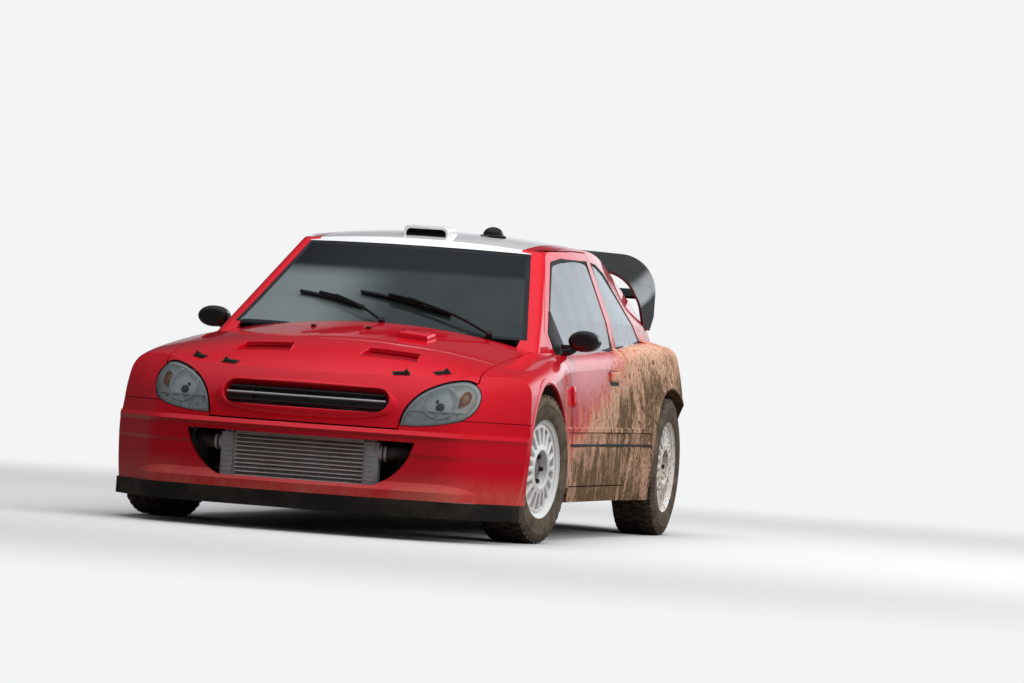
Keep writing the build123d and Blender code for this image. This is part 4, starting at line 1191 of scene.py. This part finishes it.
plate = drawn(on_plate, plate_line, (0, 0.030), (0, -0.004), (0.002, -0.005))
piece("plate_blank", plate, roof_white, "tailgate", smooth=30)
grip = rounded(((-0.16, 0.700), (-0.155, 0.722), (0.155, 0.722), (0.16, 0.700)), 0.008)
piece("hatch_grip", drawn(on_rear, grip, (0, 0.001), (0, -0.012), (0.004, -0.016)), seal_black,
      "tailgate", smooth=40)
rear_line = ((-0.532, 1.610), (0.0, 1.660), (0.532, 1.610), (0.430, 1.232), (0.0, 1.252),
             (-0.430, 1.232))[::-1]
on_glass = smooth_skin(skin("rear_glass"), within(rear_line), 2)
loop = rubber_loop(on_glass, rear_line, (-0.0005, 0.004, 0.006), (-0.0005, 0.004, -0.0044),
                   (0.004, 0.012, -0.0056), (0.024, 0.04, -0.0006), (0.026, 0.042, 0.001))
piece("rear_glass_rubber", loop, seal_black, "tailgate", smooth=40)


# Inside: matt dash with a small display hood, woven bucket seats with red belts, a suede wheel rim and
# the white tube cage.
dash_black, nt, shader = finish_material("dash_black", (0.022, 0.022, 0.023), 0.85)
bump(nt, shader, grain(nt, 260, 3), 0.3, 0.0006)
dress(dash_black, "dashboard")
fabric, nt, shader = finish_material("seat_fabric", (0.022, 0.022, 0.026), 0.95)
shader.inputs["Sheen Weight"].default_value = 0.35
bump(nt, shader, texture(nt, "Wave", 190, (1, 0.7, 1.3)).outputs["Fac"], 0.4, 0.0006)
dress(fabric, "seats")
suede, nt, shader = finish_material("suede", (0.018, 0.018, 0.019), 0.92)
bump(nt, shader, grain(nt, 320, 3), 0.3, 0.0004)
dress(suede, "steering_wheel")
cage_white = white_paint("cage_white", 0.0, 0.3)
dress(cage_white, "roll_cage")
webbing = finish_material("belt_webbing", (0.42, 0.012, 0.016), 0.85)[0]
buckle_metal = finish_material("buckle_metal", (0.55, 0.55, 0.54), 0.35, 0.9)[0]


def strap(x, side, points, half, thick=0.0018):
    """A flat belt beside a seat's middle on a path of (offset, y, z), half its width to each side."""
    corners = []
    for offset, y, z in points:
        left, right = x + side * offset - half, x + side * offset + half
        corners += [Vector((left, y, z)), Vector((right, y, z)), Vector((right, y - thick, z + thick)),
                    Vector((left, y - thick, z + thick))]
    return bar(corners, 4)


belts, buckles = [], []
for x in (-0.36, 0.36):
    for side in (-1, 1):
        belts.append(strap(x, side, ((0.075, 0.362, 0.930), (0.072, 0.330, 0.820), (0.062, 0.292, 0.620),
                                     (0.040, 0.246, 0.440), (0.022, 0.150, 0.312)), 0.024))
        belts.append(strap(x, side, ((0.150, 0.190, 0.318), (0.090, 0.150, 0.312),
                                     (0.030, 0.110, 0.309)), 0.022))
    buckle = revolved([(0.0, 0.0), (0.0, 0.034), (0.014, 0.034), (0.018, 0.028), (0.018, 0.0)], 28)
    buckles.append(placed(buckle, (x, 0.120, 0.306), -90))
piece("belts", join(*belts), webbing, "car", smooth=50)
piece("belt_buckles", join(*buckles), buckle_metal, "car", smooth=40)
display = slab(0.250, 0.470, -0.640, -0.560, 0.768, 0.826, 0.012, 3)
centre = slab(-0.110, 0.110, -0.560, -0.474, 0.665, 0.752, 0.008, 3)
piece("dash_pods", join(display, centre), dash_black, "car", smooth=40)


# Underneath: dusty paint on the floor, a scuffed aluminium guard, a cast iron engine block and
# knuckles, a heat-tinted exhaust, and dull steel on the suspension.
dress(dusty("floor_paint", (0.055, 0.052, 0.050), share=0.7, rough=0.8, scale=5.0), "floor_pan")
dress(dusty("guard_metal", (0.36, 0.36, 0.37), share=0.6, rough=0.45, metal=0.7, scale=6.0),
      "sump_guard")
dress(dusty("cast_iron", (0.10, 0.098, 0.095), share=0.5, rough=0.65, metal=0.4), "engine_block",
      "knuckle_front_left", "knuckle_front_right")
dress(dusty("arm_steel", (0.16, 0.155, 0.15), share=0.6, rough=0.5, metal=0.6), "front_suspension",
      "rear_suspension")
pipe_steel = dusty("exhaust_steel", (0.34, 0.27, 0.20), share=0.5, rough=0.4, metal=0.9)
dress(pipe_steel, "exhaust")
bolts = [placed(hex_nut(0.010, 0.006, 0.0), (x, y, 0.1502), 90)
         for x in (-0.29, 0.0, 0.29) for y in (-1.82, -1.40, -0.96)]
piece("guard_bolts", join(*bolts), nut_steel, "car", smooth=30)
tip = [(0.0, 0.0305), (0.0, 0.0375), (0.110, 0.0375), (0.113, 0.0360), (0.110, 0.0330), (0.010, 0.0305)]
piece("exhaust_tip", placed(revolved(tip, 40), (-0.430, 1.945, 0.215), 90, "Z"), pipe_steel, "car",
      "exhaust_steel", 40)
